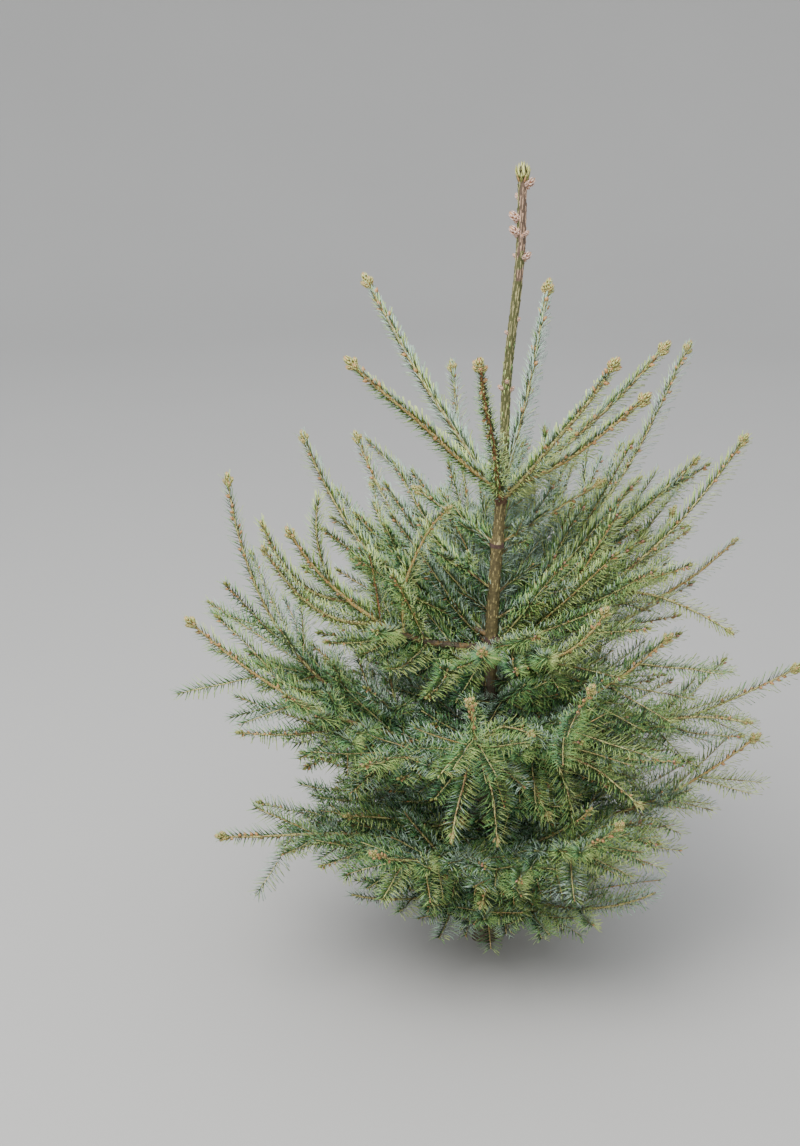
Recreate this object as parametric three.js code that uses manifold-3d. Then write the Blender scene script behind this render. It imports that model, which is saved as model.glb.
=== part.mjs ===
// A young spruce of about six seasons, rooted in the ground and dormant: a trunk that runs up
// into a long leading shoot, a fan of one-year shoots under it, and whorls of older boughs that
// carry masses of needled twigs. Units are millimetres, +Z is up, and the origin is the middle
// of the trunk's cut at the ground.
import * as THREE from "three";
import { mergeVertices } from "three/addons/utils/BufferGeometryUtils.js";
import Module from "manifold-3d";

const wasm = await Module();
wasm.setup();

// Trunk: radii are height and radius, sways are how far it leans towards +X between two heights.
const HEIGHT = 1150;
const LEADER_END = 1128;
const TRUNK_RADII = [[0, 14], [300, 10.5], [550, 8.2], [690, 7.2], [722, 6.3], [950, 5.4], [LEADER_END, 4.9]];
const TRUNK_SIDES = 10;
const TRUNK_SWAYS = [{ by: 12, from: 480, to: 800 }, { by: 15.5, from: 820, to: 1060 }];
const ROOT_FLARE = { extra: 8, height: 20, lobes: 5, lobeDepth: 1.2, lobeHeight: 40 };
const WHORL_SWELLING = { extra: 2.4, height: 9 };
const FOOT_LEVELS = [0, 12, 30, 60];
const PLAIN_LEVELS = [150, 265, 410, 560, 780, 870, 960, 1050, LEADER_END];
const SEAT_GAP = 0.3; // clear space between a limb and what carries it

// Buds: a cluster at the top, and single ones up the leading shoot as height, azimuth, length.
const BUD_SIDES = 5;
const BUD_PROFILE = [[0, 0], [1, 0.3], [0.66, 0.74], [0, 1]]; // shares of radius and length
const TOP_BUD = { length: 23, radius: 5 };
const CLUSTER_BUDS = { count: 6, length: 17, radius: 3.6, lean: 22, offset: 3.1, firstAzimuth: 15 };
const LEADER_BUDS = [
  [1118, 8, 13], [1100, 128, 10], [1085, 172, 13], [1070, 208, 12], [1061, 277, 9], [1050, 92, 11],
  [1036, 350, 13], [990, 60, 8], [943, 340, 7], [908, 190, 7], [860, 268, 8], [848, 180, 7], [846, 2, 7],
];
const LEADER_BUD = { elevation: 48, slimness: 0.26, sunk: 2.5 };
const TIP_BUD = { length: 11, radius: 3.2 };

// Whorls of branches. Each branch is azimuth, reach, rise, angle at the trunk, and how far out
// it holds that angle as a share of its chord. Azimuths run anticlockwise from +X. Neighbours
// in a whorl sit higher and lower by the stagger. boughShare is the bare inner part of a branch.
const WHORLS = [
  {
    name: "top", height: 700, years: 1, radius: 2.9, stagger: 6,
    branches: [
      [258, 204, 227, 46, 0.5], [200, 214, 201, 42, 0.5], [142, 234, 270, 44, 0.5], [66, 172, 259, 48, 0.5],
      [12, 224, 195, 34, 0.5], [338, 191, 153, 30, 0.5], [312, 190, 214, 42, 0.5],
    ],
  },
  {
    name: "middle", height: 630, years: 1, radius: 2.4, stagger: 0,
    branches: [[15, 150, 78, 26, 0.5], [150, 128, 60, 26, 0.5]],
  },
  {
    name: "second", height: 484, years: 2, radius: 3.6, stagger: 9, boughShare: 0.24, shortestShoot: 34,
    branches: [
      [205, 302, 206, 6, 0.55], [168, 270, 285, 22, 0.55], [138, 260, 253, 25, 0.5], [100, 293, 334, 38, 0.5],
      [62, 344, 237, 25, 0.5], [30, 327, 389, 36, 0.5], [355, 332, 304, 22, 0.5], [312, 207, 105, -12, 0.6],
      [263, 205, 70, 6, 0.5],
    ],
  },
  {
    name: "third", height: 330, years: 3, radius: 4.2, stagger: 10, boughShare: 0.19, shortestShoot: 50,
    branches: [
      [207, 447, 265, 10, 0.5], [188, 364, 409, 6, 0.6], [118, 370, 290, 15, 0.5], [40, 380, 270, 12, 0.5],
      [350, 424, 145, 0, 0.5], [330, 262, 213, 22, 0.4], [298, 249, 178, 5, 0.5], [262, 310, 200, 8, 0.5],
    ],
  },
  {
    name: "fourth", height: 200, years: 4, radius: 4.4, stagger: 9, boughShare: 0.14, shortestShoot: 72,
    branches: [
      [238, 312, 93, -5, 0.5], [200, 402, 48, 0, 0.5], [138, 330, 160, 0, 0.5], [55, 330, 160, 0, 0.5],
      [343, 376, 186, 0, 0.5], [300, 310, 137, -8, 0.5],
    ],
  },
  {
    name: "fifth", height: 98, years: 3, radius: 3.4, stagger: 6, shortestShoot: 52,
    branches: [[266, 200, 56, 0, 0.5], [215, 241, 57, -5, 0.5], [80, 280, 90, -5, 0.5], [318, 295, 96, -10, 0.5]],
  },
];
const YEARLY_GROWTH = 0.35; // how much longer each season's length is, as a share of the first
const BOUGH = { sides: 5, steps: 4, rootWidth: 1.25, endWidth: 0.8 }; // widths as shares of the whorl's radius

// Side shoots leave in pairs where each season ended, and one by one between. Angles are in
// degrees, shares are of the length that is left of the branch or of the season.
const PAIR = { share: [0.62, 0.85], turn: [42, 58], lift: [-6, 10], shift: [-0.015, 0.015] };
const BETWEEN = { place: [0.45, 0.8], share: [0.3, 0.45], turn: [45, 62], lift: [-10, 10] };
const SHOOT = { forward: 0.35, upward: 0.18, radius: 2.1, tipRadius: 1.5 };
const ROOT_MARGIN = 0.015; // share of a branch kept free of side shoots where its mass starts

// Toothed sprays: rows along a slim core, whose points left, up, right and under are by turns
// drawn out into a tooth that stands for a spray of needles. reach is each side's share.
const TOP_SPRAY = { spacing: 12, length: 12.5, sweep: 8, reach: [1, 0.85, 1, 0.7] };
const MAIN_SPRAY = { spacing: 21, length: 19, sweep: 12, reach: [1, 0.65, 1, 0.4] };
const SIDE_SPRAY = { spacing: 29, length: 23, sweep: 14, reach: [1, 0.5, 1, 0.35] };
const SHORTENED = [1, 0.75, 0.5]; // a tooth that would leave its space is tried shorter
const FEWEST_ROWS = 3;
const POINT_LENGTH = 4;
const SPACE_MARGIN = 2;
const TRUNK_CLEARANCE = 4;
const LOWEST_POINT = 6;
const PATH_STEPS = 14;

const TRUNK_BARK = { color: 0x5d4a37, roughness: 0.9, metalness: 0 };
const BOUGH_BARK = { color: 0x7c6a3f, roughness: 0.85, metalness: 0 };
const NEEDLES = { roughness: 0.7, metalness: 0 };
const NEEDLE_GREENS = {
  top: 0x8d9553, middle: 0x6e8050, second: 0x647a48, third: 0x587146, fourth: 0x4f6a45, fifth: 0x4a6343,
};

const UP = new THREE.Vector3(0, 0, 1);
const radians = THREE.MathUtils.degToRad;
const heading = (azimuth, elevation) => new THREE.Vector3(
  Math.cos(radians(azimuth)) * Math.cos(radians(elevation)),
  Math.sin(radians(azimuth)) * Math.cos(radians(elevation)),
  Math.sin(radians(elevation)));

// The seeded rule: a multiplicative generator, with its first few draws thrown away.
const MODULUS = 2147483647;
const MULTIPLIER = 16807;
class Draws {
  constructor(seed) {
    this.state = seed % MODULUS || 1;
    for (let i = 0; i < 3; i++) this.next();
  }
  next() {
    this.state = (this.state * MULTIPLIER) % MODULUS;
    return this.state / MODULUS;
  }
  between([low, high]) {
    return low + (high - low) * this.next();
  }
}
const childSeed = (seed, index) => (seed * 31 + index * 17 + 7) % MODULUS;

// A closed geometry as a solid, with its faces turned outwards.
function solid(geometry) {
  const bare = geometry.clone();
  bare.deleteAttribute("normal");
  bare.deleteAttribute("uv");
  const merged = mergeVertices(bare, 1e-4);
  const triVerts = new Uint32Array(merged.index.array);
  const vertProperties = new Float32Array(merged.attributes.position.array);
  const made = new wasm.Manifold(new wasm.Mesh({ numProp: 3, vertProperties, triVerts }));
  if (made.volume() > 0) return made;
  for (let i = 0; i < triVerts.length; i += 3) {
    [triVerts[i + 1], triVerts[i + 2]] = [triVerts[i + 2], triVerts[i + 1]];
  }
  return new wasm.Manifold(new wasm.Mesh({ numProp: 3, vertProperties, triVerts }));
}

// Pieces fused into one body. A hollow that the fusing seals is filled.
function fused(solids) {
  const bodies = solids.reduce((sum, s) => sum.add(s)).decompose();
  return bodies.reduce((largest, body) => (body.volume() > largest.volume() ? body : largest));
}

// A column of rings with flat ends; place(share, angle, rim) gives each point, and rim is 0 on the axis.
function column(sides, steps, place) {
  const geometry = new THREE.CylinderGeometry(1, 1, 1, sides, steps);
  const position = geometry.getAttribute("position");
  for (let i = 0; i < position.count; i++) {
    const [x, y, z] = [position.getX(i), position.getY(i), position.getZ(i)];
    const p = place(y + 0.5, Math.atan2(z, x), Math.round(Math.hypot(x, z)));
    position.setXYZ(i, p.x, p.y, p.z);
  }
  return solid(geometry);
}

// Directions at a point of an axis: along it, upwards and to its left.
function frameAt(axis, u) {
  const along = axis.getTangent(u);
  const upward = UP.clone().addScaledVector(along, -along.z).normalize();
  return { along, upward, left: upward.clone().cross(along) };
}

function trunkCentre(z) {
  const x = TRUNK_SWAYS.reduce((sum, sway) => sum + sway.by * THREE.MathUtils.smoothstep(z, sway.from, sway.to), 0);
  return new THREE.Vector3(x, 0, z);
}

function trunkRadius(z, angle = 0) {
  const upper = Math.max(1, TRUNK_RADII.findIndex(([height]) => height >= z));
  const [[z0, r0], [z1, r1]] = TRUNK_RADII.slice(upper - 1, upper + 1);
  const swelling = WHORLS.reduce((sum, whorl) =>
    sum + WHORL_SWELLING.extra * Math.exp(-(((z - whorl.height) / WHORL_SWELLING.height) ** 2)), 0);
  const flare = ROOT_FLARE.extra * Math.exp(-z / ROOT_FLARE.height);
  const lobe = ROOT_FLARE.lobeDepth * Math.cos(ROOT_FLARE.lobes * angle) * Math.exp(-z / ROOT_FLARE.lobeHeight);
  return THREE.MathUtils.mapLinear(z, z0, z1, r0, r1) + swelling + flare + lobe;
}

// The trunk without its buds, grown outwards by the gap that limbs keep to it.
function trunkColumn(grown) {
  const spread = WHORL_SWELLING.height * 1.5;
  const whorlLevels = WHORLS.flatMap(({ height }) => [height - spread, height, height + spread]);
  const levels = [...FOOT_LEVELS, ...whorlLevels, ...PLAIN_LEVELS].sort((a, b) => a - b);
  const steps = levels.length - 1;
  return column(TRUNK_SIDES, steps, (share, angle, rim) => {
    const z = levels[Math.round(share * steps)];
    const r = rim * (trunkRadius(z, angle) + grown);
    return trunkCentre(z).add(new THREE.Vector3(r * Math.cos(angle), r * Math.sin(angle), 0));
  });
}

function bud(base, direction, length, radius) {
  const profile = BUD_PROFILE.map(([r, h]) => new THREE.Vector2(r * radius, h * length));
  const turn = new THREE.Quaternion().setFromUnitVectors(new THREE.Vector3(0, 1, 0), direction);
  return solid(new THREE.LatheGeometry(profile, BUD_SIDES).applyQuaternion(turn).translate(base.x, base.y, base.z));
}

function trunk() {
  const top = trunkCentre(LEADER_END);
  const pieces = [trunkColumn(0), bud(top.clone().setZ(HEIGHT - TOP_BUD.length), UP, TOP_BUD.length, TOP_BUD.radius)];
  for (let i = 0; i < CLUSTER_BUDS.count; i++) {
    const azimuth = CLUSTER_BUDS.firstAzimuth + (360 / CLUSTER_BUDS.count) * i;
    const base = top.clone().addScaledVector(heading(azimuth, 0), CLUSTER_BUDS.offset);
    base.z -= CLUSTER_BUDS.radius;
    const direction = heading(azimuth, 90 - CLUSTER_BUDS.lean);
    pieces.push(bud(base, direction, CLUSTER_BUDS.length, CLUSTER_BUDS.radius));
  }
  for (const [height, azimuth, length] of LEADER_BUDS) {
    const base = trunkCentre(height).addScaledVector(heading(azimuth, 0), trunkRadius(height) - LEADER_BUD.sunk);
    pieces.push(bud(base, heading(azimuth, LEADER_BUD.elevation), length, LEADER_BUD.slimness * length));
  }
  return fused(pieces);
}

// A branch leaves the trunk at its own angle and curves up to its tip.
function branchAxis(whorl, index) {
  const [azimuth, reach, rise, atTrunk, hold] = whorl.branches[index];
  const start = trunkCentre(whorl.height + (index % 2 ? whorl.stagger : -whorl.stagger));
  const level = trunkCentre(whorl.height);
  const bend = level.clone().addScaledVector(heading(azimuth, atTrunk), hold * Math.hypot(reach, rise));
  const tip = level.clone().addScaledVector(heading(azimuth, 0), reach).addScaledVector(UP, rise);
  return new THREE.QuadraticBezierCurve3(start, bend, tip);
}

// Where each season but the last ended along a branch, as shares of it
function seasonEnds(years) {
  const lengths = Array.from({ length: years }, (_, season) => 1 + YEARLY_GROWTH * season);
  const whole = lengths.reduce((a, b) => a + b);
  let grown = 0;
  return lengths.slice(0, -1).map((length) => (grown += length) / whole);
}

// A side shoot turns out of its branch by turn and lift, then bends forwards and up.
function sideAxis(axis, u, turn, lift, length) {
  const { along, upward, left } = frameAt(axis, u);
  const out = along.clone().multiplyScalar(Math.cos(radians(turn)))
    .addScaledVector(left, Math.sin(radians(turn)))
    .addScaledVector(upward, Math.sin(radians(lift))).normalize();
  const later = out.clone().addScaledVector(along, SHOOT.forward).addScaledVector(UP, SHOOT.upward).normalize();
  const start = axis.getPoint(u);
  const bend = start.clone().addScaledVector(out, length / 2);
  return new THREE.QuadraticBezierCurve3(start, bend, bend.clone().addScaledVector(later, length / 2));
}

function sideShoots(axis, years, seed) {
  const whole = axis.getLength();
  const ends = seasonEnds(years);
  const shoots = [];
  const add = (u, hand, turn, lift, length) =>
    shoots.push({ u, axis: sideAxis(axis, u, hand * turn, lift, length), length });
  let index = 0;
  for (const end of ends) {
    for (const hand of [-1, 1]) {
      const draws = new Draws(childSeed(seed, index++));
      const [share, turn, lift, shift] = [PAIR.share, PAIR.turn, PAIR.lift, PAIR.shift].map((r) => draws.between(r));
      add(end + shift, hand, turn, lift, (1 - end) * whole * share);
    }
  }
  ends.forEach((end, season) => {
    const from = season ? ends[season - 1] : 0;
    for (const hand of [-1, 1]) {
      const draws = new Draws(childSeed(seed, index++));
      const u = from + (end - from) * draws.between(BETWEEN.place);
      const [share, turn, lift] = [BETWEEN.share, BETWEEN.turn, BETWEEN.lift].map((r) => draws.between(r));
      add(u, hand, turn, lift, (1 - u) * whole * share);
    }
  });
  return shoots;
}

const branches = WHORLS.flatMap((whorl) => whorl.branches.map((_, index) => {
  const axis = branchAxis(whorl, index);
  return { whorl, axis, path: axis.getPoints(PATH_STEPS), name: `${whorl.name}_${index + 1}` };
}));
branches.forEach((branch, index) => { branch.seed = index + 1; });

// The distance from a point to a path, or any distance under enough once one is found
const stretch = new THREE.Line3();
const nearest = new THREE.Vector3();
function distanceTo(path, point, enough) {
  let least = Infinity;
  for (let i = 1; i < path.length && least > enough; i++) {
    stretch.set(path[i - 1], path[i]).closestPointToPoint(point, true, nearest);
    least = Math.min(least, nearest.distanceTo(point));
  }
  return least;
}

// Own space: above the ground, off the trunk, and nearer to the branch than to any other.
function isOwn(point, branch, room) {
  if (point.z < LOWEST_POINT + room) return false;
  const z = Math.min(point.z, LEADER_END);
  const fromTrunk = Math.hypot(point.x - trunkCentre(z).x, point.y);
  if (fromTrunk < trunkRadius(z) + TRUNK_CLEARANCE) return false;
  const own = distanceTo(branch.path, point, 0) + room;
  return branches.every((other) => other === branch || distanceTo(other.path, point, own) > own);
}

// One row of a spray: four points round the core, every second one drawn out into a tooth.
function sprayRow(axis, u, core, spray, branch, parity) {
  const centre = axis.getPoint(u);
  const { along, upward, left } = frameAt(axis, u);
  const sides = [left, upward, left.clone().negate(), upward.clone().negate()];
  return sides.map((side, k) => {
    const inner = centre.clone().addScaledVector(side, core);
    if (parity === null || (parity + k) % 2) return inner;
    const teeth = SHORTENED.map((share) => inner.clone().addScaledVector(along, spray.sweep * share)
      .addScaledVector(side, spray.length * spray.reach[k] * share));
    return teeth.find((tooth) => isOwn(tooth, branch, SPACE_MARGIN)) ?? inner;
  });
}

// A shoot from one share of its axis to its end, cut back where its core would leave the
// branch's space. Each square of the loft is split along the line between its two core points.
function toothedShoot(axis, from, coreAt, spray, branch, bareRows) {
  const rows = Math.max(FEWEST_ROWS, Math.round((axis.getLength() * (1 - from)) / spray.spacing));
  const shareOf = (row) => from + (1 - from) * (row / rows);
  let last = 0;
  while (last < rows) {
    const room = SPACE_MARGIN + coreAt(shareOf(last + 1));
    if (last + 1 >= bareRows && !isOwn(axis.getPoint(shareOf(last + 1)), branch, room)) break;
    last++;
  }
  if (last < FEWEST_ROWS - 1) return null;
  const points = [];
  for (let row = 0; row <= last; row++) {
    const bare = row < bareRows || row === last;
    points.push(...sprayRow(axis, shareOf(row), coreAt(shareOf(row)), spray, branch, bare ? null : row));
  }
  const { along } = frameAt(axis, shareOf(last));
  const end = axis.getPoint(shareOf(last));
  points.push(end.clone().addScaledVector(along, POINT_LENGTH));
  const indices = [0, 1, 2, 0, 2, 3];
  for (let row = 0; row < last; row++) {
    for (let k = 0; k < 4; k++) {
      const [a, b] = [4 * row + k, 4 * row + ((k + 1) % 4)];
      const [c, d] = [b + 4, a + 4];
      indices.push(...((row + k) % 2 ? [a, c, b, a, d, c] : [a, d, b, b, d, c]));
    }
  }
  for (let k = 0; k < 4; k++) indices.push(4 * last + k, points.length - 1, 4 * last + ((k + 1) % 4));
  const geometry = new THREE.BufferGeometry().setFromPoints(points).setIndex(indices);
  return { body: solid(geometry), end, along };
}

function bough({ axis, whorl }) {
  const radiusAt = (share) => whorl.radius * THREE.MathUtils.lerp(BOUGH.rootWidth, BOUGH.endWidth, share);
  return column(BOUGH.sides, BOUGH.steps, (share, angle, rim) => {
    const u = share * whorl.boughShare;
    const { upward, left } = frameAt(axis, u);
    const r = rim * radiusAt(share);
    return axis.getPoint(u).addScaledVector(left, r * Math.cos(angle)).addScaledVector(upward, r * Math.sin(angle));
  });
}

// The needled rest of a branch: its main stem from its bough's tip or the trunk, its side
// shoots, and on the younger ones a bud at the tip.
function mass(branch, from) {
  const { axis, whorl, seed } = branch;
  const first = from ? whorl.radius * BOUGH.endWidth : whorl.radius;
  const stemAt = (u) => THREE.MathUtils.mapLinear(u, from, 1, first, SHOOT.tipRadius);
  const shootAt = (u) => THREE.MathUtils.lerp(SHOOT.radius, SHOOT.tipRadius, u);
  const stem = toothedShoot(axis, from, stemAt, whorl.years === 1 ? TOP_SPRAY : MAIN_SPRAY, branch, from ? 1 : 2);
  const pieces = [stem.body];
  if (whorl.years < 3) pieces.push(bud(stem.end, stem.along, TIP_BUD.length, TIP_BUD.radius));
  for (const shoot of sideShoots(axis, whorl.years, seed)) {
    if (shoot.u < from + ROOT_MARGIN || shoot.length < whorl.shortestShoot) continue;
    const side = toothedShoot(shoot.axis, 0, shootAt, SIDE_SPRAY, branch, 1);
    if (side) pieces.push(side.body);
  }
  return fused(pieces);
}

// Assembly
const tree = new THREE.Group();

function addMesh(name, made, finish) {
  const { vertProperties, triVerts } = made.getMesh();
  const geometry = new THREE.BufferGeometry();
  geometry.setAttribute("position", new THREE.BufferAttribute(new Float32Array(vertProperties), 3));
  geometry.setIndex(new THREE.BufferAttribute(new Uint32Array(triVerts), 1));
  geometry.computeVertexNormals();
  const piece = new THREE.Mesh(geometry, new THREE.MeshStandardMaterial(finish));
  piece.name = name;
  tree.add(piece);
}

addMesh("trunk", trunk(), TRUNK_BARK);
const trunkRoom = trunkColumn(SEAT_GAP);
for (const branch of branches) {
  const { whorl, axis, name } = branch;
  const hasBough = whorl.boughShare > 0;
  const foliage = mass(branch, hasBough ? whorl.boughShare + SEAT_GAP / axis.getLength() : 0);
  if (hasBough) addMesh(`bough_${name}`, bough(branch).subtract(trunkRoom), BOUGH_BARK);
  addMesh(`needles_${name}`, hasBough ? foliage : foliage.subtract(trunkRoom),
    { ...NEEDLES, color: NEEDLE_GREENS[whorl.name] });
}

export default tree;
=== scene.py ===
"""The looks of a young spruce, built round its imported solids: bark with relief, twigs that grow on
from the boughs by the same seeded rule as the solids, needles, buds and a plain studio. Metres, +Z up."""

import functools
import itertools
import math

import bmesh
import bpy
import numpy as np
from bpy.props import FloatProperty, FloatVectorProperty, PointerProperty
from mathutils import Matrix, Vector, noise


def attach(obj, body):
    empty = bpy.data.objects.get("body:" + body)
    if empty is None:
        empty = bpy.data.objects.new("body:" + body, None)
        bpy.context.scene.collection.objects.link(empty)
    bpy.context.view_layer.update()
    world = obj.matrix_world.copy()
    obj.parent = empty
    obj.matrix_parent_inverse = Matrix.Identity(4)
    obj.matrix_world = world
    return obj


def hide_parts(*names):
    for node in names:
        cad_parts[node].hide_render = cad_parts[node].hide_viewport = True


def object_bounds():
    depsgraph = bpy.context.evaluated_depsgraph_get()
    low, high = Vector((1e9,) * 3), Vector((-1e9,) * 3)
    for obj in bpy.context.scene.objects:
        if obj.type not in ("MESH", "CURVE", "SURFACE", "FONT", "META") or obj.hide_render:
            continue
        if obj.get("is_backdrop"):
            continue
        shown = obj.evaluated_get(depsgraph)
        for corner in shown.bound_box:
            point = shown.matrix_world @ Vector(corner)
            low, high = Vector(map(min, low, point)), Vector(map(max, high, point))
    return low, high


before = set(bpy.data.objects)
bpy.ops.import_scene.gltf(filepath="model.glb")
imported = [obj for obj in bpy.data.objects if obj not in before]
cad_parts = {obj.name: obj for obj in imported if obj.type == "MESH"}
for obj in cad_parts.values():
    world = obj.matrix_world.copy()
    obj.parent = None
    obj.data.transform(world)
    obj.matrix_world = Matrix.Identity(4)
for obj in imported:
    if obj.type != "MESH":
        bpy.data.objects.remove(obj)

bl_info = {
    "name": "Young Spruce",
    "version": (1, 0, 0),
    "blender": (4, 5, 0),
    "location": "3D View > Sidebar > Spruce",
    "description": "Builds the bark, twigs, needles and buds of a young spruce",
    "category": "Add Mesh",
}


def mm(value):
    return value * 0.001


CAD_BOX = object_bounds()
BODY = "root"
UP = np.array((0.0, 0.0, 1.0))
FULL_TURN = 2 * math.pi
GOLDEN_ANGLE = math.pi * (3 - math.sqrt(5))

# Trunk, as in the solids but for a slightly stouter leading shoot: radii are height and radius,
# sways lean towards +X between two heights
LEADER_START = 0.693
LEADER_END = 1.128
TRUNK_RADII = [(0, 0.014), (0.3, 0.0105), (0.55, 0.0082), (0.69, 0.0072), (0.722, 0.0063),
               (0.95, 0.0057), (LEADER_END, 0.0056)]
TRUNK_SWAYS = [(0.012, 0.48, 0.8), (0.0155, 0.82, 1.06)]
ROOT_FLARE = {"extra": 0.008, "height": 0.02, "lobes": 5, "depth": 0.0012, "lobe_height": 0.04}
SWELLING = {"extra": 0.0024, "height": 0.009}

# Whorls of branches: azimuth, reach, rise, angle at the trunk, and how far out that angle holds
WHORLS = {
    "top": {
        "height": 0.7, "seasons": 1, "radius": 0.0029, "stagger": 0.006, "knot": 0.008, "bough": 0,
        "branches": [
            (258, 0.204, 0.227, 46, 0.5), (200, 0.214, 0.201, 42, 0.5), (142, 0.234, 0.270, 44, 0.5),
            (66, 0.172, 0.259, 48, 0.5), (12, 0.224, 0.195, 34, 0.5), (338, 0.191, 0.153, 30, 0.5),
            (312, 0.190, 0.214, 42, 0.5),
        ],
    },
    "middle": {
        "height": 0.63, "seasons": 1, "radius": 0.0024, "stagger": 0, "knot": 0.0035, "bough": 0,
        "branches": [(15, 0.150, 0.078, 26, 0.5), (150, 0.128, 0.060, 26, 0.5)],
    },
    "second": {
        "height": 0.484, "seasons": 2, "radius": 0.0036, "stagger": 0.009, "knot": 0.01, "bough": 0.24,
        "branches": [
            (205, 0.302, 0.206, 6, 0.55), (168, 0.270, 0.285, 22, 0.55), (138, 0.260, 0.253, 25, 0.5),
            (100, 0.293, 0.334, 38, 0.5), (62, 0.344, 0.237, 25, 0.5), (30, 0.327, 0.389, 36, 0.5),
            (355, 0.332, 0.304, 22, 0.5), (312, 0.207, 0.105, -12, 0.6), (263, 0.205, 0.070, 6, 0.5),
        ],
    },
    "third": {
        "height": 0.33, "seasons": 3, "radius": 0.0042, "stagger": 0.01, "knot": 0.01, "bough": 0.19,
        "branches": [
            (207, 0.447, 0.265, 10, 0.5), (188, 0.364, 0.409, 6, 0.6), (118, 0.370, 0.290, 15, 0.5),
            (40, 0.380, 0.270, 12, 0.5), (350, 0.424, 0.145, 0, 0.5), (330, 0.262, 0.213, 22, 0.4),
            (298, 0.249, 0.178, 5, 0.5), (262, 0.310, 0.200, 8, 0.5),
        ],
    },
    "fourth": {
        "height": 0.2, "seasons": 4, "radius": 0.0044, "stagger": 0.009, "knot": 0.01, "bough": 0.14,
        "branches": [
            (238, 0.312, 0.093, -5, 0.5), (200, 0.402, 0.048, 0, 0.5), (138, 0.330, 0.160, 0, 0.5),
            (55, 0.330, 0.160, 0, 0.5), (343, 0.376, 0.186, 0, 0.5), (300, 0.310, 0.137, -8, 0.5),
        ],
    },
    "fifth": {
        "height": 0.098, "seasons": 3, "radius": 0.0034, "stagger": 0.006, "knot": 0.008, "bough": 0,
        "branches": [
            (266, 0.200, 0.056, 0, 0.5), (215, 0.241, 0.057, -5, 0.5), (80, 0.280, 0.090, -5, 0.5),
            (318, 0.295, 0.096, -10, 0.5),
        ],
    },
}
YOUNG_WHORLS = ("top", "middle")

# How stout branches are against their whorl's radius, and the radii of their tips
STOUT = {"top": 1.15, ("second", 0): 1.7}
STOUT_ELSEWHERE = 0.95
BRANCH_TIP = {"top": mm(2.1)}
BRANCH_TIP_ELSEWHERE = mm(1.3)

# The rule for side shoots, as in the solids, in degrees and shares
YEARLY_GROWTH = 0.35
PAIR = {"share": (0.62, 0.85), "turn": (42, 58), "lift": (-6, 10), "shift": (-0.015, 0.015)}
BETWEEN = {"place": (0.45, 0.8), "share": (0.3, 0.45), "turn": (45, 62), "lift": (-10, 10)}
FORWARD_BEND = 0.35
UPWARD_BEND = 0.18

# Finer shoots, which the solids leave out: on the main branches, and on their side shoots
FINE = {
    "middle": {"spacing": 0.016, "share": (0.3, 0.55), "turn": (36, 60), "longest": 0.15,
               "lift": (-20, 40), "upward": 0.2},
    "second": {"spacing": 0.0095, "share": (0.32, 0.66), "turn": (20, 62), "longest": 0.25,
               "lift": (-34, 52), "upward": 0.22},
    "third": {"spacing": 0.019, "share": (0.24, 0.50), "turn": (32, 64), "longest": 0.17,
              "lift": (-62, 46), "upward": 0.02},
    "fourth": {"spacing": 0.022, "share": (0.22, 0.46), "turn": (34, 64), "longest": 0.14,
               "lift": (-66, 42), "upward": -0.14},
    "fifth": {"spacing": 0.018, "share": (0.22, 0.46), "turn": (36, 64), "longest": 0.13,
              "lift": (-34, 46), "upward": -0.1},
}
FINE_ON_SIDES = {"spacing": 0.030, "share": (0.32, 0.58), "turn": (40, 62), "longest": 0.095}
OLDEST_FINE = 2

# Sprays that hang from the main branches: how many from each, where along it, and their lengths
# Painted shade and light: the tint darkens hanging sprays of the second and third whorls, lightens the
# fourth's
HANGING = {
    "second": {"number": 4, "place": (0.06, 0.42), "turn": (8, 58), "lift": (-78, -30),
               "length": (0.05, 0.09), "tint": -0.4},
    "third": {"number": 8, "place": (0.14, 0.86), "turn": (8, 58), "lift": (-78, -36),
              "length": (0.07, 0.13), "tint": -0.2},
    "fourth": {"number": 8, "place": (0.14, 0.86), "turn": (8, 58), "lift": (-60, -22),
               "length": (0.06, 0.11), "tint": 0.4},
}
HANGING_BEND = -0.3
DEEPEST_ORDER = 2

# Small shoots straight from the trunk, between the whorls: spans from low to high and of their draws
INNER = {"low": 0.125, "high": 0.66, "spacing": 0.0115, "clear": 0.010, "first_seed": 500,
         "reach": (0.23, 0.14), "share": (0.6, 1.1), "rise": (-4, 38), "tilt": (-10, 16), "bend": 16,
         "old_below": 0.6, "seasons": (3, 2), "base": mm(2.2)}

# What keeps a shoot: its length, its height, its room from the trunk, and how far past the solids
SHORTEST = 0.028
LOWEST = 0.010
TRUNK_ROOM = 0.004
PAST_THE_SOLIDS = 0.008

# Bare wood that shows in the photo: the trunk between the upper whorls, the inner part of one bough
# and the trunk below it, each from one place to another, with how far to each side it shows
TOWARD_VIEWER = (266, 20)
OPENINGS = [
    ((0, 0, 0.492), (0.008, 0, 0.70), 0.024),
    ((-0.012, -0.006, 0.487), (-0.118, -0.05, 0.505), 0.019),
    ((0, 0, 0.40), (0, 0, 0.47), 0.014),
]

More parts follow.
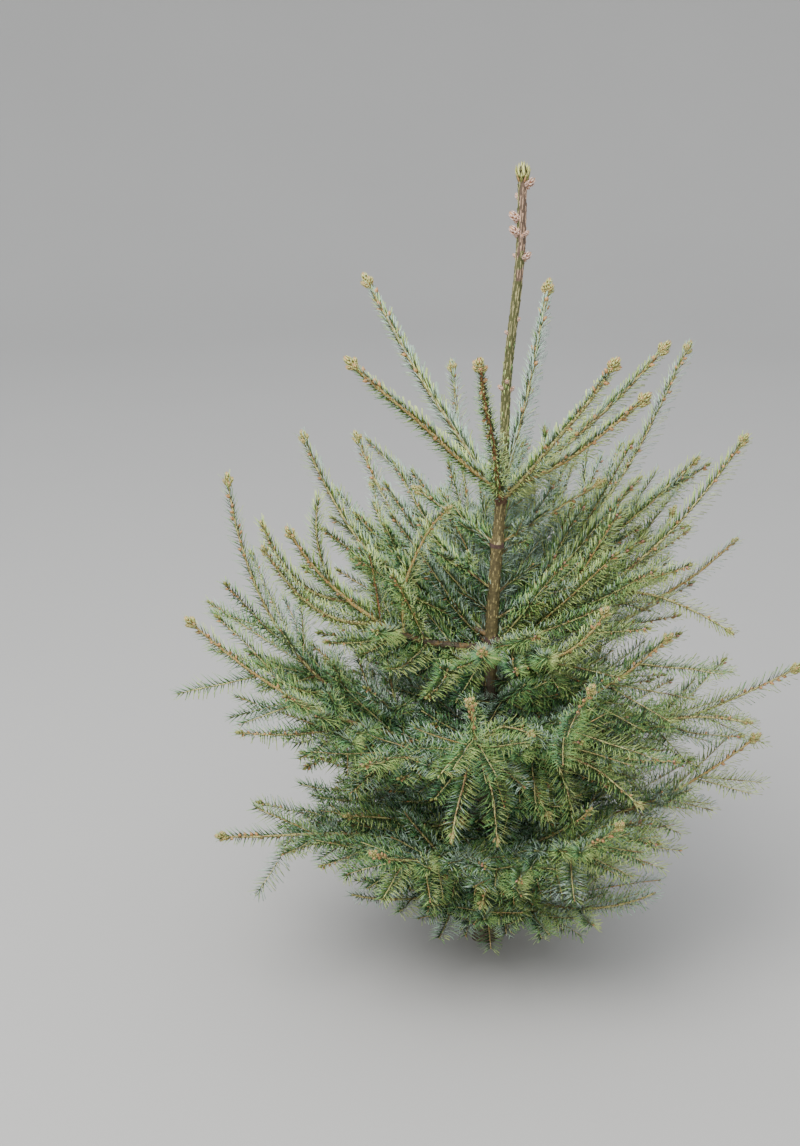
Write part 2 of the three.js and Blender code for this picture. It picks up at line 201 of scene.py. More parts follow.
# Main branches that stand out, by whorl and place in it: bark of the last season, what is added to
# the tint of the needles, the share of them that is frosted, and how far out the branch is bare
LOOKS = {
    ("top", 0): ("rust", 0.6, 0.1, 0.05),
    ("top", 1): ("amber", 0.9, 0.0, 0.05),
    ("top", 2): ("pale", 0.5, 0.4, 0.04),
    ("top", 3): ("pale", 0.5, 0.6, 0.04),
    ("top", 4): ("amber", 0.6, 0.1, 0.06),
    ("top", 5): ("amber", 0.5, 0.1, 0.06),
    ("top", 6): ("pale", 0.6, 0.2, 0.06),
    ("second", 0): ("amber", 0.8, 0.0, 0.10),
    ("second", 1): ("pale", 0.8, 0.2, 0.16),
    ("second", 7): ("amber", 0.4, 0.0, 0.16),
    ("third", 0): ("amber", 0.8, 0.0, 0.14),
    ("third", 5): ("amber", 0.4, 0.0, 0.14),
}
# How far out the others are bare: where they have no bough, and where they have one, with its share
BARE_TWIG = 0.05
BARE_BOUGH = (0.03, 0.55)

# Side shoots that stand out: whorl and place of their branch, share along it, azimuth, reach, rise,
# angle at the start, seasons, bark, and sometimes what more is added to the tint
# The added tint is painted light and shade: it lightens single shoots in shaded bands, darkens others
PLACED = [
    ("second", 0, 0.38, 310, 0.090, 0.205, 98, 1, "amber", 0.5),
    ("second", 0, 0.49, 240, 0.030, 0.108, 78, 1, "rust"),
    ("second", 0, 0.65, 200, 0.118, 0.122, 10, 1, "pale"),
    ("second", 0, 0.73, 185, 0.020, 0.125, 60, 1, "pale"),
    ("second", 0, 0.50, 225, 0.200, 0.155, 10, 1, "pale"),
    ("second", 0, 0.27, 240, 0.109, 0.000, -25, 1, "pale"),
    ("second", 0, 0.17, 290, 0.060, 0.000, -30, 1, "pale"),
    ("second", 7, 0.11, 305, 0.087, -0.027, 0, 1, "pale"),
    ("third", 7, 0.41, 305, 0.106, 0.064, 72, 1, "pale"),
    ("third", 7, 0.51, 240, 0.111, 0.005, 30, 1, "pale"),
    ("third", 6, 0.14, 290, 0.145, -0.031, 22, 1, "amber"),
    ("third", 4, 0.30, 325, 0.250, 0.098, 38, 2, "pale"),
    ("second", 6, 0.35, 330, 0.205, -0.011, 25, 1, "pale"),
    ("second", 5, 0.25, 350, 0.197, 0.181, 35, 2, "pale"),
    ("third", 3, 0.55, 350, 0.190, 0.156, 30, 1, "amber"),
    ("third", 0, 0.30, 225, 0.100, -0.050, 0, 2, "pale"),
    ("third", 0, 0.40, 250, 0.050, -0.090, -20, 1, "pale"),
    ("fourth", 0, 0.20, 250, 0.060, -0.060, -10, 1, "pale"),
    ("fourth", 5, 0.29, 285, 0.071, -0.039, 0, 1, "pale"),
    ("third", 7, 0.20, 305, 0.139, -0.047, 8, 1, "pale", 0.7),
    ("third", 7, 0.41, 230, 0.102, 0.005, 20, 1, "pale", -1.2),
    ("fourth", 1, 0.20, 215, 0.157, 0.062, 25, 1, "pale", 1.0),
    ("fourth", 1, 0.27, 300, 0.116, 0.065, 30, 1, "pale", 1.0),
    ("fourth", 0, 0.20, 290, 0.075, -0.003, 15, 1, "pale"),
    ("fourth", 5, 0.20, 250, 0.153, -0.026, 5, 1, "pale", 0.7),
    ("fourth", 5, 0.50, 330, 0.111, -0.013, 10, 1, "pale"),
    ("fourth", 4, 0.40, 320, 0.100, -0.016, 10, 1, "pale"),
    ("third", 6, 0.49, 325, 0.155, -0.042, 5, 1, "pale"),
    ("third", 6, 0.40, 335, 0.116, -0.003, 15, 1, "pale"),
    ("third", 2, 0.24, 190, 0.153, 0.044, 25, 2, "brown"),
    ("third", 2, 0.32, 180, 0.150, 0.054, 25, 2, "brown"),
    ("third", 1, 0.28, 140, 0.052, 0.102, 60, 1, "brown"),
    ("third", 1, 0.22, 130, 0.035, 0.108, 65, 1, "brown"),
    ("third", 0, 0.23, 200, 0.134, -0.010, 5, 2, "brown"),
    ("fourth", 1, 0.40, 190, 0.139, -0.014, 0, 2, "brown"),
    ("fourth", 2, 0.26, 185, 0.160, 0.016, 10, 2, "brown"),
    ("third", 7, 0.48, 285, 0.085, -0.096, -15, 1, "pale", -0.4),
    ("third", 7, 0.56, 250, 0.102, -0.083, -10, 1, "brown"),
    ("third", 6, 0.53, 315, 0.053, -0.113, -35, 1, "pale", -0.2),
    ("fourth", 5, 0.29, 305, 0.135, 0.114, 30, 1, "pale", -0.2),
    ("fourth", 0, 0.43, 215, 0.062, 0.086, 50, 1, "brown"),
]
FIRST_PLACED_SEED = 800
# What is added to the tint of a placed shoot's needles, by its bark, and how much of it is frosted
# The lifts are partly painted light: placed shoots are lighter than the sprays round them
PLACED_LOOKS = {"pale": (0.9, 0.0), "amber": (1.1, 0.0), "rust": (0.9, 0.0), "brown": (0.1, 0.3)}
# How far out the angle at their start holds
PLACED_HOLD = 0.5

# Radii of shoots: tips against bases, how they taper, the thinnest, and bases by length for side shoots
# and placed ones
TIP_SHARE = 0.42
TAPER = 0.8
THINNEST = mm(0.7)
SIDE_BASE = (mm(0.75), 0.004)
SIDE_SHARE = 0.8
PLACED_BASE = (mm(1.3), 0.008)

# How far shoots stray from a plain bend, against their length, in how many turns and from what angle
WANDER = 0.011
SWING_TURNS = (0.8, 1.6)
SWING_START = 3

# The seeded draws of the solids, and the numbers that keep a shoot's draws apart by purpose
MODULUS = 2147483647
MULTIPLIER = 16807
THROWN_AWAY = 3
PURPOSES = {"line": 900, "bark": 901, "tint": 902, "buds": 903}


# The settings that a user would change

def metres(name, description, default, low, high):
    return FloatProperty(name=name, description=description, default=default, min=low, max=high,
                         unit="LENGTH", subtype="DISTANCE", precision=4)


def linear(c):
    return c / 12.92 if c <= 0.04045 else ((c + 0.055) / 1.055) ** 2.4


def colour(name, description, red, green, blue):
    """A colour setting whose default is given as it shows on a screen, 0 to 255."""
    default = tuple(linear(c / 255) for c in (red, green, blue))
    return FloatVectorProperty(name=name, description=description, default=default, size=3,
                               subtype="COLOR", min=0.0, max=1.0)


def wattage(name, description, default):
    return FloatProperty(name=name, description=description, default=default, min=0, max=1000,
                         unit="POWER")


class SpruceBark(bpy.types.PropertyGroup):
    """Sizes and colours of the trunk, the leading shoot and the boughs."""
    relief: metres("Relief", "Height of the pegs and ridges on the bark", 0.0007, 0, 0.003)
    peg_spacing: metres("Peg spacing", "Rise from one peg to the next round the trunk", 0.0014, 0.0005, 0.01)
    old: colour("Old bark", "Bark of the lower trunk", 84, 74, 60)
    young: colour("Young bark", "Grooves between the upper whorls", 92, 82, 52)
    # The colour of the ridges that stand out most between the upper whorls, paler than the grooves
    ridge_pale: colour("Pale flecks", "Ridges between the upper whorls", 152, 138, 92)
    # Leading shoot: darker grooves and paler ridges, partly own colour, partly painted shade and highlight
    groove: colour("Grooves", "Between the ridges of the leading shoot", 78, 80, 44)
    ridge: colour("Ridges", "Ridges of the leading shoot, low down", 156, 150, 106)
    rose: colour("Top bark", "Ridges of the leading shoot near its tip", 188, 156, 130)
    peg: colour("Pegs", "Ends of the pegs where needles stood", 84, 60, 44)
    knot: colour("Knots", "Rings where the whorls leave the trunk", 78, 58, 54)


class SpruceTwigs(bpy.types.PropertyGroup):
    """Colours of the boughs' wood and of the twigs."""
    pale: colour("Pale twigs", "Last season's shoots in full light", 186, 180, 118)
    amber: colour("Amber twigs", "Last season's shoots, warmer ones", 188, 154, 98)
    rust: colour("Rusty twigs", "Last season's shoots, the reddest ones", 148, 96, 66)
    brown: colour("Brown wood", "Wood of the season before", 128, 104, 70)
    grey: colour("Grey wood", "The oldest wood of the boughs", 104, 90, 74)


class SpruceNeedles(bpy.types.PropertyGroup):
    """Sizes and colours of the needles."""
    length: metres("Length", "Length of a needle in the middle of a season's growth", 0.0205, 0.005, 0.03)
    radius: metres("Radius", "Half of a needle's width", 0.00098, 0.0002, 0.002)
    density: FloatProperty(name="Needles per centimetre", description="Needles along one shoot",
                           default=10.5, min=2, max=30)
    straw: colour("Straw", "Needles of the sunniest tips", 190, 206, 126)
    olive: colour("Olive", "Needles of the upper shoots", 154, 184, 98)
    fresh: colour("Fresh green", "Needles of outer sprays", 114, 164, 90)
    green: colour("Green", "Needles inside the outer sprays", 82, 136, 84)
    deep: colour("Deep green", "Needles lower down", 64, 108, 76)
    shade: colour("Shade green", "Needles deep in the crown", 50, 82, 62)
    pale: colour("Pale green", "Needles that turn their frosted side out", 164, 190, 172)
    under: colour("Undersides", "Lower side of the needles", 126, 148, 130)


class SpruceBuds(bpy.types.PropertyGroup):
    """Sizes and colours of the winter buds."""
    length: metres("Length", "Length of a bud at a strong shoot's tip", 0.0105, 0.002, 0.03)
    brown: colour("Brown scales", "Scales of the side buds", 178, 134, 88)
    rose: colour("Rosy scales", "Lower half of the leading shoot's scales", 170, 124, 104)
    green: colour("Green scales", "Scales of the buds at the tips", 128, 130, 66)
    paper: colour("Papery points", "Points of the side buds' scales on the leading shoot", 206, 178, 164)
    cream: colour("Cream points", "Points of the scales at the tips", 184, 184, 116)
    # Partly the core's own colour, partly painted shade: the core shows only between the scales
    dark: colour("Bud core", "Between the scales of the buds", 62, 58, 32)


class SpruceStudio(bpy.types.PropertyGroup):
    """The floor, the light and the camera."""
    floor: colour("Floor", "Colour of the plain floor", 160, 159, 157)
    sky: FloatProperty(name="Sky light", description="Strength of the even light from all round",
                       default=2.0, min=0, max=5)
    lamp: wattage("Lamp power", "Power of the soft lamp overhead", 170)
    fill: wattage("Fill power", "Power of the wide lamp in front", 62)
    lens: FloatProperty(name="Lens", description="Focal length of the camera", default=50,
                        min=10, max=200, unit="CAMERA")
    pitch: FloatProperty(name="Pitch", description="How far the camera looks down",
                         default=math.radians(20), min=0, max=1.5, unit="ROTATION", subtype="ANGLE")


# Growth

class Draws:
    """The seeded draws of the solids: a multiplicative generator whose first draws are thrown away."""

    def __init__(self, seed):
        self.state = seed % MODULUS or 1
        for _ in range(THROWN_AWAY):
            self.next()

    def next(self):
        self.state = self.state * MULTIPLIER % MODULUS
        return self.state / MODULUS

    def between(self, span):
        return span[0] + (span[1] - span[0]) * self.next()

    def each(self, rule, *names):
        """One draw from each of these spans of a rule, in turn."""
        return [self.between(rule[name]) for name in names]


def child_seed(seed, index):
    """The seed of a child, by the same sum as in the solids."""
    return (seed * 31 + index * 17 + 7) % MODULUS


def children(shoot):
    """Seed and draws for one child of a shoot after another."""
    for index in itertools.count():
        seed = child_seed(shoot.seed, index)
        yield seed, Draws(seed)


def heading(azimuth, elevation):
    a, e = math.radians(azimuth), math.radians(elevation)
    return np.array((math.cos(a) * math.cos(e), math.sin(a) * math.cos(e), math.sin(e)))


def unit(v):
    return v / np.maximum(np.linalg.norm(v, axis=-1, keepdims=True), 1e-12)


def smoothstep(x, low, high):
    t = np.clip((x - low) / (high - low), 0, 1)
    return t * t * (3 - 2 * t)


def ring_of(angle):
    """Level directions at these angles."""
    return np.stack((np.cos(angle), np.sin(angle), np.zeros_like(angle)), 1)


def trunk_centre(z):
    z = np.asarray(z, float)
    x = sum(by * smoothstep(z, low, high) for by, low, high in TRUNK_SWAYS)
    return np.stack((x, np.zeros_like(z), z), axis=-1)


def at_whorls(z, height):
    """A hump of this height at each whorl, from 0 to 1."""
    return sum(np.exp(-(((z - w["height"]) / height) ** 2)) for w in WHORLS.values())


def trunk_radius(z, angle=0.0):
    z = np.asarray(z, float)
    taper = np.interp(z, *zip(*TRUNK_RADII))
    swelling = SWELLING["extra"] * at_whorls(z, SWELLING["height"])
    flare = ROOT_FLARE["extra"] * np.exp(-z / ROOT_FLARE["height"])
    lobe = ROOT_FLARE["depth"] * np.cos(ROOT_FLARE["lobes"] * angle) * np.exp(-z / ROOT_FLARE["lobe_height"])
    return taper + swelling + flare + lobe


def season_ends(seasons):
    """Where each season but the last ended along a branch, as shares of it."""
    lengths = 1 + YEARLY_GROWTH * np.arange(seasons)
    return (np.cumsum(lengths) / lengths.sum())[:-1]


class Shoot:
    """A branch or side shoot: a bent line with its seasons, its order, its whorl and its looks, which are
    its bark, what is added to its needles' tint, the share of them that is frosted, and how far out it
    is bare. Without a bark or a share of its own, each is drawn."""

    def __init__(self, whorl, bends, seasons, order, seed, base):
        self.whorl = whorl
        self.bends = np.array(bends)
        self.seasons = seasons
        self.order = order
        self.seed = seed
        self.ends = season_ends(seasons)
        draws = self.draws("line")
        chord = self.bends[2] - self.bends[0]
        sway = WANDER * np.linalg.norm(chord)
        self.swings = [
            (axis * sway * draws.between((-1, 1)), draws.between(SWING_TURNS), draws.next() * SWING_START)
            for axis in (unit(np.cross(chord, UP)), UP)
        ]
        samples = self.line(np.linspace(0, 1, 17))
        self.length = np.linalg.norm(np.diff(samples, axis=0), axis=1).sum()
        self.base = base
        self.tip = max(base * TIP_SHARE, THINNEST)
        self.bark = None
        self.lift = 0.0
        self.frost = None
        self.bare = 0.0

    @classmethod
    def reaching(cls, whorl, start, level, azimuth, reach, rise, angle, hold, seasons, order, seed, base):
        """A shoot that ends at this azimuth, reach and rise from its level, and leaves at this angle."""
        bend = level + heading(azimuth, angle) * hold * math.hypot(reach, rise)
        tip = level + heading(azimuth, 0) * reach + UP * rise
        return cls(whorl, (start, bend, tip), seasons, order, seed, base)

    def draws(self, purpose):
        return Draws(child_seed(self.seed, PURPOSES[purpose]))

    def line(self, u):
        u = np.atleast_1d(np.asarray(u, float))[:, None]
        p0, p1, p2 = self.bends
        bent = (1 - u) ** 2 * p0 + 2 * u * (1 - u) * p1 + u * u * p2
        for swing, turns, phase in self.swings:
            bent = bent + swing * np.sin(math.pi * u) * np.sin(2 * math.pi * turns * u + phase)
        return bent

    def frames(self, u):
        """Directions along, upwards and to the left at shares of the line."""
        u = np.atleast_1d(np.asarray(u, float))
        step = 0.004
        along = unit(self.line(np.minimum(u + step, 1)) - self.line(np.maximum(u - step, 0)))
        upward = unit(UP - along * along[:, 2:3])
        return along, upward, np.cross(upward, along)

    def radius(self, u):
        return self.base + (self.tip - self.base) * np.asarray(u) ** TAPER

    def age(self, u):
        """How many seasons old the wood is at shares of the line."""
        return self.seasons - np.searchsorted(self.ends, u, side="right")

    def side(self, u, turn, lift, length, seasons, seed, upward_bend=UPWARD_BEND):
        """A shoot that turns out of this one by turn and lift, then bends forwards and up."""
        along, upward, left = (v[0] for v in self.frames(u))
        turn, lift = math.radians(turn), math.radians(lift)
        out = unit(along * math.cos(turn) + left * math.sin(turn) + upward * math.sin(lift))
        later = unit(out + along * FORWARD_BEND + UP * upward_bend)
        start = self.line(u)[0]
        bend = start + out * length / 2
        tip = bend + later * length / 2
        base = min(SIDE_BASE[0] + SIDE_BASE[1] * length, float(self.radius(u)) * SIDE_SHARE)
        return Shoot(self.whorl, (start, bend, tip), seasons, self.order + 1, seed, base)


def side_shoots(shoot):
    """The side shoots of the solids' rule, then finer ones between them and sprays that hang."""
    seeds = children(shoot)
    for season, end in enumerate(shoot.ends):
        for hand in (-1, 1):
            seed, draws = next(seeds)
            part, turn, lift, shift = draws.each(PAIR, "share", "turn", "lift", "shift")
            length = (1 - end) * shoot.length * part
            yield shoot.side(end + shift, hand * turn, lift, length, shoot.seasons - 1 - season, seed)
    start = 0
    for season, end in enumerate(shoot.ends):
        for hand in (-1, 1):
            seed, draws = next(seeds)
            place, part, turn, lift = draws.each(BETWEEN, "place", "share", "turn", "lift")
            u = start + (end - start) * place
            length = (1 - u) * shoot.length * part
            yield shoot.side(u, hand * turn, lift, length, shoot.seasons - 1 - season, seed)
        start = end
    yield from fine_shoots(shoot, seeds)
    yield from hanging_sprays(shoot, seeds)


def fine_shoots(shoot, seeds):
    """Finer shoots along all but the last season, on one hand and the other in turn."""
    fine = {**FINE.get(shoot.whorl, {}), **(FINE_ON_SIDES if shoot.order else {})}
    start = 0
    for season, end in enumerate(shoot.ends):
        stretch = end - start
        count = int(stretch * shoot.length / fine["spacing"])
        for i in range(count):
            seed, draws = next(seeds)
            u = start + stretch * (i + draws.next()) / count
            part, turn, lift = draws.each(fine, "share", "turn", "lift")
            length = min((1 - u) * shoot.length * part, fine["longest"])
            seasons = min(shoot.seasons - 1 - season, OLDEST_FINE)
            yield shoot.side(u, hand_of(i) * turn, lift, length, seasons, seed, fine["upward"])
        start = end


def hanging_sprays(shoot, seeds):
    """Sprays that hang from a main branch."""
    rule = HANGING.get(shoot.whorl)
    if not rule or shoot.order:
        return
    for i in range(rule["number"]):
        seed, draws = next(seeds)
        place, turn, lift, length = draws.each(rule, "place", "turn", "lift", "length")
        spray = shoot.side(place, hand_of(i) * turn, lift, length, 1, seed, HANGING_BEND)
        spray.lift = rule["tint"]
        yield spray


def hand_of(i):
    return 1 if i % 2 else -1


def hides_wood(places):
    """Whether any of these places is in front of wood that shows bare."""
    toward = heading(*TOWARD_VIEWER)
    for start, end, half_width in OPENINGS:
        line = np.subtract(end, start)
        across = unit(np.cross(toward, line))
        level = np.cross(across, toward)
        from_start = places - start
        along = (from_start @ level) / (line @ level)
        near = (np.abs(from_start @ across) < half_width) & (along > 0) & (along < 1)
        in_front = from_start @ toward - along * (line @ toward)
        if (near & (in_front > 0)).any():
            return True
    return False


def stays_clear(shoot):
    """Whether a shoot keeps off the ground and the trunk, within the solids' reach, and isn't a stub."""
    if shoot.length < SHORTEST:
        return False
    outer_part = np.linspace(0.25, 1, 7)
    places = shoot.line(outer_part)
    if places[:, 2].min() < LOWEST or hides_wood(places):
        return False
    low, high = (np.array(corner)[:2] for corner in CAD_BOX)
    if (places[:, :2] < low - PAST_THE_SOLIDS).any() or (places[:, :2] > high + PAST_THE_SOLIDS).any():
        return False
    z = np.minimum(places[:, 2], LEADER_END)
    off = np.hypot(places[:, 0] - trunk_centre(z)[:, 0], places[:, 1])
    return bool((off > trunk_radius(z) + TRUNK_ROOM).all())


def grow(shoot, found):
    found.append(shoot)
    if shoot.order < DEEPEST_ORDER:
        for side in side_shoots(shoot):
            if stays_clear(side):
                grow(side, found)


def main_branches():
    """Every branch that leaves the trunk, in the order and with the seeds of the solids, and the rows
    of the shoots placed on it."""
    seeds = itertools.count(1)
    for name, whorl in WHORLS.items():
        for index, (azimuth, reach, rise, at_trunk, hold) in enumerate(whorl["branches"]):
            start = trunk_centre(whorl["height"] + whorl["stagger"] * hand_of(index))
            level = trunk_centre(whorl["height"])
            base = whorl["radius"] * STOUT.get((name, index), STOUT.get(name, STOUT_ELSEWHERE))
            branch = Shoot.reaching(name, start, level, azimuth, reach, rise, at_trunk, hold,
                                    whorl["seasons"], 0, next(seeds), base)
            branch.tip = BRANCH_TIP.get(name, BRANCH_TIP_ELSEWHERE)
            branch.bare = whorl["bough"] * BARE_BOUGH[1] + BARE_BOUGH[0] if whorl["bough"] else BARE_TWIG
            if (name, index) in LOOKS:
                branch.bark, branch.lift, branch.frost, branch.bare = LOOKS[name, index]
            yield branch, [row for row in PLACED if row[:2] == (name, index)]


def placed_shoot(branch, row):
    """A listed side shoot: its row says where it starts and ends."""
    _, _, u, azimuth, reach, rise, at_start, seasons, bark, *more = row
    start = branch.line(u)[0]
    seed = FIRST_PLACED_SEED + PLACED.index(row)
    base = PLACED_BASE[0] + PLACED_BASE[1] * math.hypot(reach, rise)
    shoot = Shoot.reaching(branch.whorl, start, start, azimuth, reach, rise, at_start, PLACED_HOLD,
                           seasons, 1, seed, base)
    shoot.bark = bark
    shoot.lift, shoot.frost = PLACED_LOOKS[bark]
    shoot.lift += sum(more)
    return shoot


def inner_shoots():
    """Small shoots from the trunk between the whorls, turning round it by the golden angle."""
    for i, z in enumerate(np.arange(INNER["low"], INNER["high"], INNER["spacing"])):
        name = min(WHORLS, key=lambda k: abs(WHORLS[k]["height"] - z))
        if abs(WHORLS[name]["height"] - z) < INNER["clear"]:
            continue
        seed = INNER["first_seed"] + i
        draws = Draws(seed)
        level = (z - INNER["low"]) / (INNER["high"] - INNER["low"])
        length = np.interp(level, (0, 1), INNER["reach"]) * draws.between(INNER["share"])
        azimuth = math.degrees(i * GOLDEN_ANGLE)
        elevation = np.interp(level, (0, 1), INNER["rise"]) + draws.between(INNER["tilt"])
        start = trunk_centre(z)
        bend = start + heading(azimuth, elevation) * length * 0.5
        tip = bend + heading(azimuth, elevation + INNER["bend"]) * length * 0.5
        seasons = INNER["seasons"][0 if level < INNER["old_below"] else 1]
        yield Shoot(name, (start, bend, tip), seasons, 1, seed, INNER["base"])


@functools.cache
def grown():
    """All shoots of the tree by whorl, worked out once."""
    shoots = {name: [] for name in WHORLS}
    for branch, rows in main_branches():
        grow(branch, shoots[branch.whorl])
        for row in rows:
            grow(placed_shoot(branch, row), shoots[branch.whorl])
    for shoot in inner_shoots():
        if stays_clear(shoot):
            grow(shoot, shoots[shoot.whorl])
    return shoots


# Meshes

def new_piece(name, mesh, materials, nodes):
    """A piece of the tree, which rides on its body and stands for these nodes of the frame."""
    piece = bpy.data.objects.new(name, mesh)
    bpy.context.scene.collection.objects.link(piece)
    for material in materials:
        mesh.materials.append(material)
    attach(piece, BODY)
    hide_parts(*nodes)
    return piece


def mesh_from(bm, name):
    """The mesh of a bmesh, which is freed."""
    mesh = bpy.data.meshes.new(name)
    bm.to_mesh(mesh)
    bm.free()
    return mesh


def joined_mesh(name, vertices, triangles, looks):
    """One smooth mesh from arrays of vertices, triangles and the number of each triangle's material."""
    mesh = bpy.data.meshes.new(name)
    mesh.vertices.add(len(vertices))
    mesh.vertices.foreach_set("co", np.asarray(vertices, np.float32).ravel())
    mesh.loops.add(triangles.size)
    mesh.loops.foreach_set("vertex_index", triangles.astype(np.int32).ravel())
    mesh.polygons.add(len(triangles))
    mesh.polygons.foreach_set("loop_start", np.arange(0, triangles.size, 3, dtype=np.int32))
    mesh.polygons.foreach_set("material_index", np.asarray(looks, np.int32))
    mesh.polygons.foreach_set("use_smooth", np.ones(len(triangles), bool))
    mesh.update(calc_edges=True)
    mesh.validate()
    return mesh


class Heap:
    """Small closed shapes, gathered as arrays until they are joined in one mesh."""

    def __init__(self):
        self.vertices = []
        self.triangles = []
        self.looks = []
        self.count = 0

    def add(self, vertices, triangles, looks):
        """vertices is shapes x corners x 3; triangles is one shape's faces; looks is shapes x faces."""
        shapes, corners = vertices.shape[:2]
        starts = self.count + np.arange(shapes)[:, None, None] * corners
        self.vertices.append(vertices.reshape(-1, 3))
        self.triangles.append((starts + triangles[None]).reshape(-1, 3))
        self.looks.append(np.broadcast_to(looks, (shapes, len(triangles))).ravel())
        self.count += shapes * corners

    def mesh(self, name):
        return joined_mesh(name, *(np.concatenate(v) for v in (self.vertices, self.triangles, self.looks)))

    def faces(self):
        return sum(len(t) for t in self.triangles)


def tube_triangles(rows, around):
    """The faces of a tube of rows x around corners with a point at each end, after all the corners."""
    ring = np.arange(around)
    after = (ring + 1) % around
    faces = []
    for row in range(rows - 1):
        a, b = row * around + ring, row * around + after
        c, d = b + around, a + around
        faces += [np.stack((a, b, c), 1), np.stack((a, c, d), 1)]
    low, high = rows * around, rows * around + 1
    last = (rows - 1) * around
    faces.append(np.stack((np.full(around, low), after, ring), 1))
    faces.append(np.stack((np.full(around, high), last + ring, last + after), 1))
    return np.concatenate(faces)


def skin(rows, around, place):
    """A closed tube: a grid whose two long sides are joined and whose ends are capped.
    place(v, angle) takes arrays of shares along it and angles round it, and gives points."""
    bm = bmesh.new()
    bmesh.ops.create_grid(bm, x_segments=around, y_segments=rows, size=0.5)
    flat = np.array([v.co for v in bm.verts])
    low, high = flat.min(0), flat.max(0)
    shares = (flat - low)[:, :2] / (high - low)[:2]
    for vertex, point in zip(bm.verts, place(shares[:, 1], shares[:, 0] * FULL_TURN)):
        vertex.co = point
    bmesh.ops.remove_doubles(bm, verts=bm.verts, dist=1e-6)
    rims = [edge for edge in bm.edges if edge.is_boundary]
    bmesh.ops.holes_fill(bm, edges=rims, sides=around)
    bmesh.ops.recalc_face_normals(bm, faces=bm.faces)
    return bm


# Shader maths

class Value:
    """A shader socket that takes part in Python sums. Each operator adds its Math node."""

    def __init__(self, graph, socket):
        self.graph = graph
        self.socket = socket

    def _maths(self, operation, first, second=0.0):
        return self.graph.node("ShaderNodeMath", {"operation": operation}, {0: first, 1: second})

    def __add__(self, other):
        return self._maths("ADD", self, other)

    def __radd__(self, other):
        return self._maths("ADD", other, self)

    def __mul__(self, other):
        return self._maths("MULTIPLY", self, other)

    def __rmul__(self, other):
        return self._maths("MULTIPLY", other, self)


class Graph:
    """The nodes of one material, with its surface shader."""

    def __init__(self, name):
        self.material = bpy.data.materials.new(name)
        self.material.use_nodes = True
        self.tree = self.material.node_tree
        self.shader = self.tree.nodes["Principled BSDF"]
        self.place = self.node("ShaderNodeTexCoord", output="Object")

    def node(self, kind, settings=(), inputs=(), output=0):
        """Adds a node: its settings first, then the values or links of its sockets."""
        made = self.tree.nodes.new(kind)
        for key, value in dict(settings).items():
            setattr(made, key, value)
        for key, value in dict(inputs).items():
            self.join(made.inputs[key], value)
        return Value(self, made.outputs[output])

    def join(self, socket, value):
        """Links a value to a socket, or sets it there."""
        if isinstance(value, Value):
            self.tree.links.new(value.socket, socket)
        else:
            socket.default_value = value

    def feed(self, name, value):
        self.join(self.shader.inputs[name], value)

    def speckle(self, scale, detail=2.0, roughness=0.5):
        """Noise on the object's own coordinates, from 0 to 1."""
        inputs = {"Vector": self.place, "Scale": scale, "Detail": detail, "Roughness": roughness}
        return self.node("ShaderNodeTexNoise", {}, inputs)

    def ramp(self, value, low, high):
        """Spreads the values from low to high over 0 to 1."""
        return self.node("ShaderNodeMapRange", {"interpolation_type": "SMOOTHSTEP"},
                         {"Value": value, "From Min": low, "From Max": high})

    def paint(self, factor, base, first, second):
        """Colours the surface with the base made lighter or darker by first, where factor is 0, and by
        second, where it is 1."""
        inputs = {0: factor, 6: (*tinted(base, first), 1.0), 7: (*tinted(base, second), 1.0)}
        self.feed("Base Color", self.node("ShaderNodeMix", {"data_type": "RGBA"}, inputs, 2))

    def roughen(self, value, low, high, middle, spread):
        """Roughness round a middle, over a spread, as the value goes from low to high."""
        self.feed("Roughness", self.ramp(value, low, high) * spread + (middle - spread / 2))

    def bump(self, height, distance):
        inputs = {"Height": height, "Distance": distance, "Strength": 1.0}
        self.feed("Normal", self.node("ShaderNodeBump", {}, inputs))


def tinted(base, factor):
    return tuple(min(1.0, c * factor) for c in base)


def bark_material(name, base, scale=240.0, contrast=0.32, roughness=0.88, depth=0.0006):
    """Bark: cracked flakes of lighter and darker tone, with a fine grain over them."""
    graph = Graph(name)
    flakes = graph.node("ShaderNodeTexVoronoi", {"feature": "F1"},
                        {"Vector": graph.place, "Scale": scale, "Randomness": 1.0})
    grit = graph.speckle(scale * 2.6, 3.0, 0.6)
    stain = graph.speckle(scale * 0.22)
    tone = graph.ramp(flakes * 0.45 + grit * 0.4 + stain * 0.45, 0.35, 0.85)
    graph.paint(tone, base, 1 + contrast, 1 - contrast)
    graph.roughen(grit, 0.2, 0.8, roughness, 0.16)
    graph.bump(flakes * 0.5 + grit * 0.5, depth)
    return graph.material


def needle_material(name, base):
    """A needle's skin: waxy green with a slight mottle of lighter and darker tone."""
    graph = Graph(name)
    mottle = graph.speckle(75.0)
    graph.paint(graph.ramp(mottle, 0.3, 0.7), base, 0.84, 1.16)
    graph.roughen(mottle, 0.25, 0.75, 0.46, 0.16)
    return graph.material


def scale_material(name, base):
    """Bud scales: thin and papery, lighter where the noise thins them."""
    graph = Graph(name)
    fleck = graph.speckle(420.0, 3.0, 0.6)
    graph.paint(graph.ramp(fleck, 0.3, 0.72), base, 0.72, 1.22)
    graph.roughen(fleck, 0.2, 0.8, 0.6, 0.2)
    graph.bump(fleck, 0.0003)
    return graph.material


# Trunk and boughs

# Skins of the trunk and the leading shoot: rows' height, corners round them, cushions' length and width
TRUNK_SKIN = {"step": mm(2.0), "around": 56, "tail": mm(19), "width": mm(0.85)}
LEADER_SKIN = {"step": mm(2.2), "around": 84, "tail": mm(30), "width": mm(0.6)}
LEADER_OVERLAP = mm(4)

